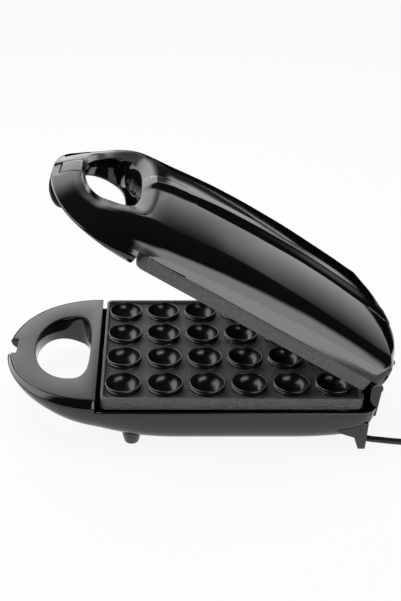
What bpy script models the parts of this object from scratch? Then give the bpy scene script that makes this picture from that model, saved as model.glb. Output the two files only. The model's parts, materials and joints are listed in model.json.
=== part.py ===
"""Walnut cookie maker: a countertop cooker with a hinged lid and a hand hole in each half.

The model's frame is +Z up with the floor at zero. X runs along the cooker, from the handles at
-X to the hinge at +X, and the middle plane is y = 0. Heights of both halves are counted from
the parting plane, where the two cooking plates meet when the lid is shut. The lid's pieces are
modelled shut and hang from an empty on the hinge axis, which holds the lid open.
"""

import math

import bmesh
import bpy
from mathutils import Matrix, Vector

# Places that everything else follows
PARTING_HEIGHT = 0.0564
PLATE_CENTRE_X = 0.0281
PLATE_LENGTH = 0.2455
PLATE_WIDTH = 0.1926
PLATE_TO_ROOT = 0.00515
PLATE_TO_REAR = 0.01585
PLATE_TO_SIDE = 0.0052
HANDLE_ROOT_X = PLATE_CENTRE_X - PLATE_LENGTH / 2.0 - PLATE_TO_ROOT
BODY_LENGTH = PLATE_LENGTH + PLATE_TO_ROOT + PLATE_TO_REAR
BODY_WIDTH = PLATE_WIDTH + 2.0 * PLATE_TO_SIDE
HINGE_FROM_REAR = 0.0038
HINGE_X = HANDLE_ROOT_X + BODY_LENGTH - HINGE_FROM_REAR
HINGE_ABOVE_PARTING = 0.0064
LID_REST_ANGLE = math.radians(31.3)

# Fits
PART_GAP = 0.0003
RUNNING_GAP = 0.0005
OVERRUN = 0.004
WELD = 0.000002
CURVE_SAMPLES = 40

# Plan of both halves
BASE_HANDLE_LENGTH = 0.0920
BASE_HANDLE_POWER = 2.1
LID_HANDLE_LENGTH = 0.0855
LID_HANDLE_POWER = 2.3
REAR_CORNER_RADIUS = 0.0200
LID_REAR_REACH = 0.0149
LID_REAR_BULGE = 0.0160
SHELL_WALL = 0.0025
SEAM_GAP = 0.0005

# Stations of both halves: handle stations as shares of a quarter turn, body stations as
# shares of the body's length, then the rear corner's arc and the rear wall's half widths
HANDLE_TURN_SHARES = (0.07, 0.22, 0.38, 0.53, 0.67, 0.78, 0.89, 1.0)
BODY_STATION_SHARES = (0.075, 0.17, 0.28, 0.41, 0.56, 0.71, 0.845, 0.925)
CORNER_TURN_SHARES = (0.35, 0.68, 1.0)
REAR_WIDTH_SHARES = (0.78, 0.46, 0.12)

# Lid form
LID_HEIGHT = 0.0550
LID_RIM_HEIGHT = 0.0150
LID_CREST_FRONT = 0.0650
SPINE_WIDTH = 0.0180
SPINE_HEIGHT = 0.0062
SPINE_TOP_SHARE = 0.9
SPINE_LIMIT_SHARE = 0.6
WING_ROW_SHARE = 0.55
END_ROW_SHARES = (-0.62, -0.5, -0.4, 0.4, 0.5, 0.62)
LID_CREST_SHARES = (
    0.37, 0.36, 0.35, 0.38, 0.475, 0.56, 0.63, 0.665,
    0.683, 0.728, 0.772, 0.79, 0.782, 0.75, 0.712, 0.688,
    0.687, 0.69, 0.695, 0.70, 0.70, 0.69,
)
LID_DOME_SHARES = (
    0.01, 0.0, -0.02, -0.03, -0.08, -0.15, -0.17, 0.08,
    0.125, 0.12, 0.107, 0.112, 0.13, 0.14, 0.13, 0.11,
    0.09, 0.076, 0.058, 0.04, 0.018, 0.004,
)
SPINE_RISE_SHARES = (
    0, 0, 0, 0, 0, 0, 0, 0,
    0.8, 0.92, 1.06, 1.06, 1.02, 1.0, 1.03, 0.9,
    0.8, 0.72, 0.65, 0.5, 0.25, 0,
)
SPINE_WIDTH_SHARES = (
    0.5, 1.5, 1.6, 1.6, 1.6, 1.6, 1.6, 1.55,
    1.39, 1.1, 1.02, 1.0, 1.0, 1.02, 1.1, 1.17,
    1.22, 1.22, 1.22, 1.17, 1.1, 0.6,
)
LID_CREST_WIDTH_SHARES = (0.79, 0.80, 0.805, 0.82, 0.845, 0.865, 0.88, 0.877)
LID_CREST_ROOT_SHARE = 0.764
LID_CREST_REAR_SHARES = (
    (0.949, 0.867), (0.962, 0.79), (0.977, 0.69),
    (0.998, 0.55), (1.02, 0.335), (1.035, 0.10),
)
LID_WALL_SHARES = ((0.30, 0.0), (0.55, 0.06), (0.75, 0.22), (0.90, 0.52), (1.0, 1.0))
LID_TIP_WALL_SHARES = ((0.15, 0.0), (0.40, 0.22), (0.65, 0.47), (0.86, 0.72), (1.0, 1.0))
LID_TUCK_SHARE = 0.28
TIP_WALL_SHARES = (1.0, 1.0, 1.0, 1.0, 0.9, 0.7, 0.45, 0.2)

# Base form
BASE_DEPTH = 0.0495
BASE_TUCK_SHARE = 0.15
BASE_RIM_DEPTH = 0.0130
BASE_FLAT_FRONT = 0.0720
BASE_DEPTH_SHARES = (
    0.29, 0.31, 0.365, 0.45, 0.55, 0.645, 0.73, 0.81,
    0.905, 0.98, 1.0, 1.0, 1.0, 1.0, 0.97, 0.905,
    0.895, 0.885, 0.885, 0.875, 0.875, 0.875,
)
BASE_FLAT_WIDTH_SHARES = (0.78, 0.825, 0.845, 0.845, 0.845, 0.845, 0.835, 0.81)
BASE_FLAT_ROOT_SHARE = 0.74
BASE_FLAT_REAR_SHARES = (
    (0.932, 0.785), (0.938, 0.745), (0.942, 0.67),
    (0.945, 0.55), (0.947, 0.335), (0.948, 0.10),
)
BASE_WALL_SHARES = ((0.26, 0.0), (0.5, 0.05), (0.75, 0.20), (0.92, 0.50), (1.0, 1.0))

# Hand holes and the covers round them
HOLE_CENTRE_FROM_ROOT = 0.0270
HOLE_REAR_REACH = 0.0185
BASE_HOLE_FRONT_REACH = 0.0365
BASE_HOLE_HALF_WIDTH = 0.0600
LID_HOLE_FRONT_REACH = 0.0330
LID_HOLE_HALF_WIDTH = 0.0535
HOLE_REAR_POWER = 3.0
HOLE_WALL = 0.0020
HOLE_STEPS = 10
COVER_THICKNESS = 0.0020
COVER_EDGE_FROM_ROOT = 0.0010
BASE_COVER_RIM = 0.0050
BASE_COVER_RIM_FRONT = 0.0034
LID_COVER_RIM = 0.0090
LID_COVER_RIM_FRONT = 0.0085
COVER_STEPS = 20
BULKHEAD = 0.0025
SCREW_PLACE_SHARES = ((-0.147, 0.68), (-0.774, 0.304))
SCREW_HEAD_RADIUS = 0.0022
SCREW_HEAD_HEIGHT = 0.0010
SCREW_SHANK_RADIUS = 0.0012
SCREW_LENGTH = 0.0080
SCREW_BOSS_RADIUS = 0.0035
SMALL_SIDES = 8

# Cooking plates
PLATE_CORNER_RADIUS = 0.0060
PLATE_CORNER_STEPS = 4
PLATE_LIP = 0.0030
LOWER_FLOOR_DEPTH = 0.0040
LOWER_SKIRT_DEPTH = 0.0124
UPPER_FACE_HEIGHT = 0.0030
UPPER_SKIRT_HEIGHT = 0.0172
PLATE_THICKNESS = 0.0025
CUP_COLUMNS = 6
CUP_ROWS = 4
CUP_PITCH_X = 0.0400
CUP_PITCH_Y = 0.0470
CUP_CENTRE_FROM_PLATE = -0.0016
CUP_RIM_RADIUS = 0.01735
CUP_MOUTH_RADIUS = 0.0160
CUP_FOOT_RADIUS = 0.0166
CUP_RIM_HEIGHT = 0.0020
CUP_RIM_BAND = 0.0026
CUP_DEPTH = 0.0130
CUP_WALL = 0.0022
CUP_BASE_RADIUS = 0.0090
CUP_SIDES = 12
BOWL_STEPS = 3
DOUGH_GAP = 0.0035
DOME_SIDES = 10
DOME_STEPS = 2

# Heating
ELEMENT_RADIUS = 0.00325
ELEMENT_FROM_PLATE_END = 0.03275
ELEMENT_HALF_WIDTH = 0.0320
ELEMENT_CORNER_RADIUS = 0.0200
ELEMENT_CORNER_STEPS = 5
ELEMENT_TERMINAL_SPREAD = 0.0120
REFLECTOR_THICKNESS = 0.0008
REFLECTOR_MARGIN = 0.0060
POST_PLACE_COUNTS = (2.0, 1.0)
POST_RADIUS = 0.0035
POST_FOOT_RADIUS = 0.0055
THERMOSTAT_RADIUS = 0.0080
THERMOSTAT_HEIGHT = 0.0060
FUSE_RADIUS = 0.0020
FUSE_LENGTH = 0.0200
TERMINAL_BLOCK_SIZE = (0.0300, 0.0180, 0.0120)
TERMINAL_BLOCK_FROM_PLATE = (0.0450, -0.0200)

# Hinge
HINGE_POST_RADIUS = 0.0055
HINGE_POST_INSET = 0.0235
HINGE_POST_INNER_Y = BODY_WIDTH / 2.0 - HINGE_POST_INSET
HINGE_POST_END = 0.0025
HINGE_POST_WIDTH = 0.0120
LUG_WIDTH = 0.0115
HINGE_PIN_RADIUS = 0.0025
HINGE_SIDES = 14
KNUCKLE_TURN_SHARE = 1.2
LUG_TOP = 0.0330
LUG_REAR_REACH = 0.0030

# Feet
FOOT_FROM_ROOT = 0.0340
FOOT_INSET = 0.0175
FOOT_TOP_RADIUS = 0.0093
FOOT_BOTTOM_RADIUS = 0.0072
FOOT_HEIGHT = 0.0104
FOOT_FLARE = 0.0040
FOOT_SIDES = 24
LEG_INSET = 0.0025
LEG_WIDTH = 0.0120
LEG_LENGTH = 0.0283
LEG_HEIGHT = 0.0300
LEG_FROM_REAR = 0.0091
LEG_OUTLINE_SHARES = (
    (1.0, 0.0), (0.76, 0.0), (0.58, 0.44), (0.0, 0.64), (0.0, 1.0), (1.0, 1.0),
)

# Latch
LATCH_WIDTH = 0.0274
LATCH_SIDE_GAP = 0.0004
LATCH_CHEEK = 0.0032
LATCH_PIVOT_FROM_TIP = 0.0088
LATCH_PIVOT_HEIGHT = 0.0042
LATCH_KNUCKLE_RADIUS = 0.0032
LATCH_BROW_RADIUS = 0.0046
LATCH_BROW_TURN_SHARE = 0.75
LATCH_PIN_RADIUS = 0.0013
LATCH_THICKNESS = 0.0015
LATCH_HOOK_START_HEIGHT = 0.0022
LATCH_HOOK_DEPTH = 0.0215
LATCH_HOOK_REACH = 0.0175
LATCH_HOOK_POWER = 1.65
LATCH_HOOK_STEPS = 9
LATCH_HOOK_FROM_TIP = 0.0014
LATCH_CLEARANCE = 0.0005
LATCH_TAB = 0.0040
CLIP_TURN_SHARE = 1.05
BRIDGE_LOW = 0.0070
BRIDGE_OVERHANG = 0.0010
KEEPER_MARGIN = 0.0030

# Indicator lamps
LAMP_RADIUS = 0.0022
LAMP_FROM_REAR = 0.0515
LAMP_Y = 0.0135
LAMP_STANDS_OUT = 0.0008
LAMP_CROWN_SHARE = 0.6
LAMP_DEPTH = 0.0100

# Mains lead
CORD_RADIUS = 0.0032
CORD_BEVEL_STEPS = 2
CORD_POINT_SPACING = 0.0130
CORD_ROUTE = (
    (0.1372, -0.0715, 0.0036),
    (0.1470, -0.0766, 0.0034),
    (0.1620, -0.0854, 0.0033),
    (0.1741, -0.0880, 0.0033),
    (0.1880, -0.0904, 0.0033),
    (0.2080, -0.0925, 0.0033),
    (0.2300, -0.0925, 0.0034),
    (0.2420, -0.0917, 0.0040),
)
STRAIN_RELIEF_LENGTH = 0.0220
STRAIN_RELIEF_WIDTH = 0.0130
STRAIN_RELIEF_END_SHARE = 0.7
STRAIN_RELIEF_CLEARANCE = 0.0004
COIL_CENTRE = (0.2670, -0.0450)
COIL_RADIUS = 0.0460
COIL_PITCH = 0.0072
COIL_LAYER_HEIGHT = 0.0072
COIL_TURNS_EACH_WAY = 2.25
COIL_CLIMB_TURNS = 0.5
COIL_POINTS_PER_TURN = 24
COIL_BEVEL_STEPS = 1
CORD_TAIL_ROUTE = (
    (0.2920, -0.0902, 0.0104),
    (0.3040, -0.0886, 0.0086),
    (0.3150, -0.0866, 0.0082),
    (0.3240, -0.0852, 0.0085),
)
TIE_WIDTH = 0.0090
TIE_THICKNESS = 0.0010
TIE_GAP = 0.0003
PLUG_LENGTH = 0.0380
PLUG_WIDTH = 0.0290
PLUG_THICKNESS = 0.0160
PLUG_SIDES = 12
PLUG_STATION_SHARES = (
    (0.0, 0.30, 0.55), (0.30, 0.42, 0.68), (0.46, 0.92, 0.92),
    (0.75, 1.0, 1.0), (1.0, 0.96, 0.94),
)
PLUG_PIN_RADIUS = 0.0020
PLUG_PIN_LENGTH = 0.0190
PLUG_PIN_SPACING = 0.0186


def clear_scene():
    for item in list(bpy.data.objects):
        bpy.data.objects.remove(item, do_unlink=True)


def material(name, colour, roughness, metallic=0.0):
    made = bpy.data.materials.get(name) or bpy.data.materials.new(name)
    made.use_nodes = True
    shader = made.node_tree.nodes["Principled BSDF"]
    shader.inputs["Base Color"].default_value = (*colour, 1.0)
    shader.inputs["Roughness"].default_value = roughness
    shader.inputs["Metallic"].default_value = metallic
    return made


def gloss_black():
    return material("gloss_black", (0.012, 0.012, 0.013), 0.12)


def satin_black():
    return material("satin_black", (0.018, 0.018, 0.019), 0.45)


def cover_grey():
    return material("cover_grey", (0.10, 0.095, 0.105), 0.38)


def coating_black():
    return material("coating_black", (0.016, 0.015, 0.017), 0.30)


def sheet_aluminium():
    return material("sheet_aluminium", (0.72, 0.72, 0.73), 0.35, 1.0)


def steel():
    return material("steel", (0.55, 0.55, 0.56), 0.28, 1.0)


def cord_black():
    return material("cord_black", (0.02, 0.02, 0.02), 0.5)


def lens(name, colour):
    return material(name, colour, 0.2)


def add_object(name, mesh, surface=None):
    """A new object in the scene. One without a surface is a cutter, which isn't a piece."""
    made = bpy.data.objects.new(name, mesh)
    bpy.context.scene.collection.objects.link(made)
    if surface is None:
        made.hide_render = True
        made.display_type = "WIRE"
    else:
        mesh.materials.append(surface)
        mesh.shade_smooth()
        mesh.set_sharp_from_angle(angle=math.radians(32.0))
    return made


def mesh_of(name, build, flat_faces=True):
    """A mesh that build fills, with its faces turned outwards. Warped quads become triangles."""
    shape = bmesh.new()
    build(shape)
    bmesh.ops.remove_doubles(shape, verts=shape.verts, dist=WELD)
    bmesh.ops.recalc_face_normals(shape, faces=shape.faces)
    if not flat_faces:
        bmesh.ops.triangulate(shape, faces=[face for face in shape.faces if len(face.verts) == 4])
    mesh = bpy.data.meshes.new(name)
    shape.to_mesh(mesh)
    shape.free()
    return mesh


def boolean(target, cutter, operation="DIFFERENCE"):
    step = target.modifiers.new(cutter.name, "BOOLEAN")
    step.object = cutter
    step.operation = operation
    step.solver = "EXACT"


def bridge(shape, rings):
    """Rings of points joined one to the next, with a face over the first and the last."""
    made = [[shape.verts.new(point) for point in ring] for ring in rings]
    count = len(made[0])
    for lower, upper in zip(made, made[1:]):
        for i in range(count):
            j = (i + 1) % count
            shape.faces.new((lower[i], lower[j], upper[j], upper[i]))
    shape.faces.new(made[0])
    shape.faces.new(made[-1])


def prism(name, outline, low, high, surface=None):
    """An upright prism on a plan outline."""
    rings = [[(x, y, z) for x, y in outline] for z in (low, high)]
    return add_object(name, mesh_of(name, lambda shape: bridge(shape, rings)), surface)


def side_prism(name, outline, low_y, high_y, surface=None):
    """A prism along Y on an outline in the XZ plane."""
    rings = [[(x, y, z) for x, z in outline] for y in (low_y, high_y)]
    return add_object(name, mesh_of(name, lambda shape: bridge(shape, rings)), surface)


def box_outline(low_x, high_x, low_y, high_y):
    return [(low_x, low_y), (high_x, low_y), (high_x, high_y), (low_x, high_y)]


def turned_rings(profile, place, sides):
    """Rings of a profile of (radius, z) turned about the upright axis at a place."""
    x, y = place
    turn = 2.0 * math.pi / sides
    return [
        [(x + r * math.cos(k * turn), y + r * math.sin(k * turn), z) for k in range(sides)]
        for r, z in profile
    ]


def turned(name, profile, places, sides, surface=None):
    """The same turned solid at each place, in one mesh."""

    def build(shape):
        for place in places:
            bridge(shape, turned_rings(profile, place, sides))

    return add_object(name, mesh_of(name, build), surface)


def cylinder_along_y(name, radius, low_y, high_y, centre, sides, surface=None):
    x, z = centre
    turn = 2.0 * math.pi / sides
    outline = [
        (x + radius * math.cos(k * turn), z + radius * math.sin(k * turn))
        for k in range(sides)
    ]
    return side_prism(name, outline, low_y, high_y, surface)


def rounded_rectangle(centre_x, length, width, radius, steps):
    """Plan outline with quarter-circle corners."""
    points = []
    corners = ((1, 1, 0.0), (-1, 1, 0.5), (-1, -1, 1.0), (1, -1, 1.5))
    for side_x, side_y, start in corners:
        x = centre_x + side_x * (length / 2.0 - radius)
        y = side_y * (width / 2.0 - radius)
        for k in range(steps + 1):
            angle = math.pi * (start + 0.5 * k / steps)
            points.append((x + radius * math.cos(angle), y + radius * math.sin(angle)))
    return points


def mix(start, end, share):
    return start + (end - start) * share


def rounded_quarter(angle, power):
    """Shares along and across of a point on a quarter of a squared ellipse."""
    return math.cos(angle) ** (2.0 / power), math.sin(angle) ** (2.0 / power)


def plan_stations(half_plan, wall, width_shares, rear_shares):
    """Outline and shoulder points of one half, tip to rear, on the +Y side."""
    front, power, rear, bulge, shoulder_front, root_share = half_plan
    half = BODY_WIDTH / 2.0
    outline = []
    shoulder = []
    shoulder_root = half * root_share
    for share in HANDLE_TURN_SHARES:
        along, across = rounded_quarter(share * math.pi / 2.0, power)
        outline.append((HANDLE_ROOT_X - (front - wall) * along, (half - wall) * across))
        shoulder.append((
            HANDLE_ROOT_X - (shoulder_front - wall) * along,
            (shoulder_root - wall) * across,
        ))
    for share, width_share in zip(BODY_STATION_SHARES, width_shares):
        x = HANDLE_ROOT_X + share * BODY_LENGTH
        outline.append((x, half - wall))
        shoulder.append((x, half * width_share - wall))
    corner_y = half - REAR_CORNER_RADIUS
    side_rear = HANDLE_ROOT_X + rear - bulge
    radius = REAR_CORNER_RADIUS - wall
    for share in CORNER_TURN_SHARES:
        angle = share * math.pi / 2.0
        outline.append((
            side_rear - REAR_CORNER_RADIUS + radius * math.sin(angle),
            corner_y + radius * math.cos(angle),
        ))
    for share in REAR_WIDTH_SHARES:
        outline.append((side_rear + bulge * (1.0 - share ** 2) - wall, share * corner_y))
    for x_share, y_share in rear_shares:
        narrowed = half * y_share - wall * min(1.0, y_share / root_share)
        shoulder.append((HANDLE_ROOT_X + BODY_LENGTH * x_share - wall, narrowed))
    return outline, shoulder


def wall_ring(outline, shoulder, blends, heights, rows):
    """A closed ring between outline and shoulder: near side, rear rows, far side, front rows."""
    near = []
    for (ox, oy), (sx, sy), blend, z in zip(outline, shoulder, blends, heights):
        near.append((mix(ox, sx, blend), -mix(oy, sy, blend), z))
    far = [(x, -y, z) for x, y, z in reversed(near)]
    rear = [(near[-1][0], near[-1][1] * -share, near[-1][2]) for share in rows]
    front = [(near[0][0], near[0][1] * share, near[0][2]) for share in rows]
    return near + rear + far + front


def close_across(shape, ring, count, row_count, row_point):
    """The cap inside a ring: lines across from each near station to its far twin."""
    total = len(ring)
    lines = []
    for i in range(count):
        near = ring[i]
        far = ring[2 * count + row_count - 1 - i]
        if i == 0:
            inner = [ring[total - 1 - k] for k in range(row_count)]
        elif i == count - 1:
            inner = [ring[count + k] for k in range(row_count)]
        else:
            inner = [shape.verts.new(row_point(i, k)) for k in range(row_count)]
        lines.append([near, *inner, far])
    for line, following in zip(lines, lines[1:]):
        for k in range(row_count + 1):
            shape.faces.new((line[k], following[k], following[k + 1], line[k + 1]))


def half_shell_solid(name, plan, rim_z, tuck, levels, heights, rows, row_point, surface=None):
    """A closed boat-shaped solid: flat on the rim's plane, walls up to the shoulder, capped."""
    outline, shoulder = plan
    count = len(outline)
    rings = [wall_ring(outline, shoulder, [tuck] * count, [rim_z] * count, rows)]
    for (low, tip_low), (blend, tip_blend) in levels:
        slopes = [*TIP_WALL_SHARES, *[0.0] * (count - len(TIP_WALL_SHARES))]
        z_values = [PARTING_HEIGHT + mix(low, tip_low, k) * h for k, h in zip(slopes, heights)]
        blends = [mix(blend, tip_blend, k) for k in slopes]
        rings.append(wall_ring(outline, shoulder, blends, z_values, rows))

    def build(shape):
        made = [[shape.verts.new(point) for point in ring] for ring in rings]
        total = len(made[0])
        for lower, upper in zip(made, made[1:]):
            for i in range(total):
                j = (i + 1) % total
                shape.faces.new((lower[i], lower[j], upper[j], upper[i]))
        shape.faces.new(made[0])
        close_across(shape, made[-1], count, len(rows), row_point)

    return add_object(name, mesh_of(name, build, flat_faces=False), surface)


def lid_rows(wall, shoulder, crest_heights):
    """Points across the lid's roof: wing, foot of the spine and its top, near side to far."""

    def row_point(i, k):
        x, half = shoulder[i]
        spine_half = SPINE_WIDTH / 2.0 * SPINE_WIDTH_SHARES[i] - wall
        spine_half = min(spine_half, SPINE_LIMIT_SHARE * half)
        wing = mix(spine_half, half, WING_ROW_SHARE)
        ys = (-wing, -spine_half, -spine_half * SPINE_TOP_SHARE)
        y = ys[k] if k < 3 else -ys[5 - k]
        dome = LID_HEIGHT * LID_DOME_SHARES[i] * (1.0 - (y / half) ** 2)
        rise = SPINE_HEIGHT * SPINE_RISE_SHARES[i] if k in (2, 3) else 0.0
        return (x, y, PARTING_HEIGHT + crest_heights[i] + dome + rise)

    return row_point


def wall_levels(body_shares, tip_shares):
    """Pairs of heights and of blends, for the body's wall and for the handle's tip."""
    return [tuple(zip(body, tip)) for body, tip in zip(body_shares, tip_shares)]


def lid_solid(name, wall, rim_z, surface=None):
    half_plan = (
        LID_HANDLE_LENGTH, LID_HANDLE_POWER, BODY_LENGTH + LID_REAR_REACH, LID_REAR_BULGE,
        LID_CREST_FRONT, LID_CREST_ROOT_SHARE,
    )
    plan = plan_stations(half_plan, wall, LID_CREST_WIDTH_SHARES, LID_CREST_REAR_SHARES)
    heights = [LID_HEIGHT * share - wall for share in LID_CREST_SHARES]
    levels = wall_levels(LID_WALL_SHARES, LID_TIP_WALL_SHARES)
    return half_shell_solid(
        name, plan, rim_z, LID_TUCK_SHARE, levels, heights, END_ROW_SHARES,
        lid_rows(wall, plan[1], heights), surface,
    )


def base_solid(name, wall, rim_z, surface=None):
    half_plan = (
        BASE_HANDLE_LENGTH, BASE_HANDLE_POWER, BODY_LENGTH, 0.0,
        BASE_FLAT_FRONT, BASE_FLAT_ROOT_SHARE,
    )
    plan = plan_stations(half_plan, wall, BASE_FLAT_WIDTH_SHARES, BASE_FLAT_REAR_SHARES)
    heights = [-(BASE_DEPTH * share - wall) for share in BASE_DEPTH_SHARES]
    levels = wall_levels(BASE_WALL_SHARES, BASE_WALL_SHARES)
    return half_shell_solid(
        name, plan, rim_z, BASE_TUCK_SHARE, levels, heights, [], None, surface,
    )


def base_hole(offset):
    return hole_outline(BASE_HOLE_FRONT_REACH, BASE_HOLE_HALF_WIDTH, offset)


def lid_hole(offset):
    return hole_outline(LID_HOLE_FRONT_REACH, LID_HOLE_HALF_WIDTH, offset)


def hole_outline(front_reach, half_width, offset):
    """Plan outline of a hand hole: an ellipse in front, a squarer curve behind."""
    centre = HANDLE_ROOT_X - HOLE_CENTRE_FROM_ROOT
    half = half_width + offset
    points = []
    for k in range(4 * HOLE_STEPS):
        angle = 2.0 * math.pi * k / (4 * HOLE_STEPS)
        c = math.cos(angle)
        s = math.sin(angle)
        if c <= 0.0:
            points.append((centre + (front_reach + offset) * c, half * s))
        else:
            power = 2.0 / HOLE_REAR_POWER
            x = (HOLE_REAR_REACH + offset) * abs(c) ** power
            points.append((centre + x, half * math.copysign(abs(s) ** power, s)))
    return points


def base_cover_outline(margin):
    front = BASE_HANDLE_LENGTH - BASE_COVER_RIM_FRONT
    return cover_outline(front, BODY_WIDTH / 2.0 - BASE_COVER_RIM, BASE_HANDLE_POWER, margin)


def lid_cover_outline(margin):
    front = LID_HANDLE_LENGTH - LID_COVER_RIM_FRONT
    return cover_outline(front, BODY_WIDTH / 2.0 - LID_COVER_RIM, LID_HANDLE_POWER, margin)


def cover_outline(front, half_width, power, margin):
    """D-shaped plan outline of a handle cover, grown by a margin."""
    edge = HANDLE_ROOT_X + COVER_EDGE_FROM_ROOT
    reach = front + COVER_EDGE_FROM_ROOT + 2.0 * margin
    points = []
    for k in range(-COVER_STEPS // 2, COVER_STEPS // 2 + 1):
        along, across = rounded_quarter(math.pi * abs(k) / COVER_STEPS, power)
        side = math.copysign(half_width + margin, -k)
        points.append((edge + margin - reach * along, side * across))
    return points


def screw_places():
    return [
        (HANDLE_ROOT_X + x_share * BASE_HANDLE_LENGTH, side * y_share * BODY_WIDTH / 2.0)
        for x_share, y_share in SCREW_PLACE_SHARES
        for side in (-1, 1)
    ]


def cup_places():
    """Centres of the cups, column by column from the handle."""
    centre = PLATE_CENTRE_X + CUP_CENTRE_FROM_PLATE
    return [
        (
            centre + (column - (CUP_COLUMNS - 1) / 2.0) * CUP_PITCH_X,
            (row - (CUP_ROWS - 1) / 2.0) * CUP_PITCH_Y,
        )
        for column in range(CUP_COLUMNS)
        for row in range(CUP_ROWS)
    ]


def post_places():
    """Posts that carry the plates, each in the space between four cups."""
    centre = PLATE_CENTRE_X + CUP_CENTRE_FROM_PLATE
    columns, rows = POST_PLACE_COUNTS
    return [
        (centre + side_x * columns * CUP_PITCH_X, side_y * rows * CUP_PITCH_Y)
        for side_x in (-1, 1)
        for side_y in (-1, 1)
    ]


def above(height):
    """World height of a level counted from the parting plane."""
    return PARTING_HEIGHT + height


def hinge_axis():
    return HINGE_X, above(HINGE_ABOVE_PARTING)


def lower_element_height():
    return CUP_RIM_HEIGHT - CUP_DEPTH - CUP_WALL - PART_GAP - ELEMENT_RADIUS


def upper_element_height():
    return UPPER_FACE_HEIGHT + PLATE_THICKNESS + PART_GAP + ELEMENT_RADIUS


def make_lower_plate():
    top = above(0.0)
    floor = above(-LOWER_FLOOR_DEPTH)
    under = above(-LOWER_FLOOR_DEPTH - PLATE_THICKNESS)
    skirt = above(-LOWER_SKIRT_DEPTH)

    def loop(inset, z):
        outline = rounded_rectangle(
            PLATE_CENTRE_X, PLATE_LENGTH - 2.0 * inset, PLATE_WIDTH - 2.0 * inset,
            PLATE_CORNER_RADIUS - inset / 2.0, PLATE_CORNER_STEPS,
        )
        return [(x, y, z) for x, y in outline]

    rings = [
        loop(PLATE_LIP, floor), loop(PLATE_LIP, top), loop(0.0, top),
        loop(0.0, skirt), loop(PLATE_LIP, skirt), loop(PLATE_LIP, under),
    ]
    mesh = mesh_of("lower_cooking_plate", lambda shape: bridge(shape, rings))
    plate = add_object("lower_cooking_plate", mesh, coating_black())
    rim = above(CUP_RIM_HEIGHT)
    bottom = above(CUP_RIM_HEIGHT - CUP_DEPTH - CUP_WALL)
    neck = (
        (CUP_RIM_RADIUS, rim),
        (CUP_RIM_RADIUS, rim - CUP_RIM_BAND),
        (CUP_FOOT_RADIUS, floor),
        (CUP_FOOT_RADIUS, under),
        (CUP_BASE_RADIUS, bottom),
    )
    boolean(plate, turned("cup_necks", neck, cup_places(), CUP_SIDES), "UNION")
    boolean(plate, turned("cup_bowls", bowl_profile(), cup_places(), CUP_SIDES))
    return plate


def bowl_profile():
    """Inside of a cup, from just over its rim to a small flat at the bottom."""
    rim = above(CUP_RIM_HEIGHT)
    profile = [(CUP_MOUTH_RADIUS, rim + OVERRUN)]
    for k in range(BOWL_STEPS + 1):
        angle = 0.5 * math.pi * k / (BOWL_STEPS + 0.5)
        profile.append((CUP_MOUTH_RADIUS * math.cos(angle), rim - CUP_DEPTH * math.sin(angle)))
    return profile


def make_upper_plate():
    lip = above(SEAM_GAP)
    face = above(UPPER_FACE_HEIGHT)
    back = above(UPPER_FACE_HEIGHT + PLATE_THICKNESS)
    skirt = above(UPPER_SKIRT_HEIGHT)

    def loop(inset, z):
        outline = rounded_rectangle(
            PLATE_CENTRE_X, PLATE_LENGTH - 2.0 * inset, PLATE_WIDTH - 2.0 * inset,
            PLATE_CORNER_RADIUS - inset / 2.0, PLATE_CORNER_STEPS,
        )
        return [(x, y, z) for x, y in outline]

    rings = [
        loop(PLATE_LIP, face), loop(PLATE_LIP, lip), loop(0.0, lip),
        loop(0.0, skirt), loop(PLATE_LIP, skirt), loop(PLATE_LIP, back),
    ]
    mesh = mesh_of("upper_cooking_plate", lambda shape: bridge(shape, rings))
    plate = add_object("upper_cooking_plate", mesh, coating_black())
    dome_radius = CUP_MOUTH_RADIUS - DOUGH_GAP
    profile = [(dome_radius, face + PLATE_THICKNESS / 2.0)]
    reach = CUP_DEPTH - CUP_RIM_HEIGHT - DOUGH_GAP + UPPER_FACE_HEIGHT
    for k in range(DOME_STEPS + 1):
        angle = 0.5 * math.pi * k / (DOME_STEPS + 0.5)
        profile.append((dome_radius * math.cos(angle), face - reach * math.sin(angle)))
    boolean(plate, turned("cup_domes", profile, cup_places(), DOME_SIDES), "UNION")
    return plate


def make_heating(name_part, element_height, reflector_height):
    """A bent rod element under its plate, and the sheet behind it with holes for the posts."""
    z = above(element_height)
    half_x = PLATE_LENGTH / 2.0 - ELEMENT_FROM_PLATE_END
    half_y = ELEMENT_HALF_WIDTH
    radius = ELEMENT_CORNER_RADIUS
    points = [(PLATE_CENTRE_X + half_x, -ELEMENT_TERMINAL_SPREAD)]
    corners = ((1, -1, 0.0), (-1, -1, -0.5), (-1, 1, -1.0), (1, 1, -1.5))
    for side_x, side_y, start in corners:
        x = PLATE_CENTRE_X + side_x * (half_x - radius)
        y = side_y * (half_y - radius)
        for k in range(ELEMENT_CORNER_STEPS + 1):
            angle = math.pi * (start - 0.5 * k / ELEMENT_CORNER_STEPS)
            points.append((x + radius * math.cos(angle), y + radius * math.sin(angle)))
    points.append((PLATE_CENTRE_X + half_x, ELEMENT_TERMINAL_SPREAD))
    route = [(x, y, z) for x, y in points]
    tube(f"{name_part}_heating_element", route, ELEMENT_RADIUS, COIL_BEVEL_STEPS, steel())
    margin = PLATE_LIP + REFLECTOR_MARGIN
    outline = rounded_rectangle(
        PLATE_CENTRE_X, PLATE_LENGTH - 2.0 * margin, PLATE_WIDTH - 2.0 * margin,
        PLATE_CORNER_RADIUS, PLATE_CORNER_STEPS,
    )
    low = above(reflector_height)
    high = low + REFLECTOR_THICKNESS
    sheet = prism(f"{name_part}_heat_reflector", outline, low, high, sheet_aluminium())
    holes = turned(
        f"{name_part}_reflector_holes",
        ((POST_RADIUS + RUNNING_GAP, low - OVERRUN), (POST_RADIUS + RUNNING_GAP, high + OVERRUN)),
        post_places(), SMALL_SIDES,
    )
    boolean(sheet, holes)


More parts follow.
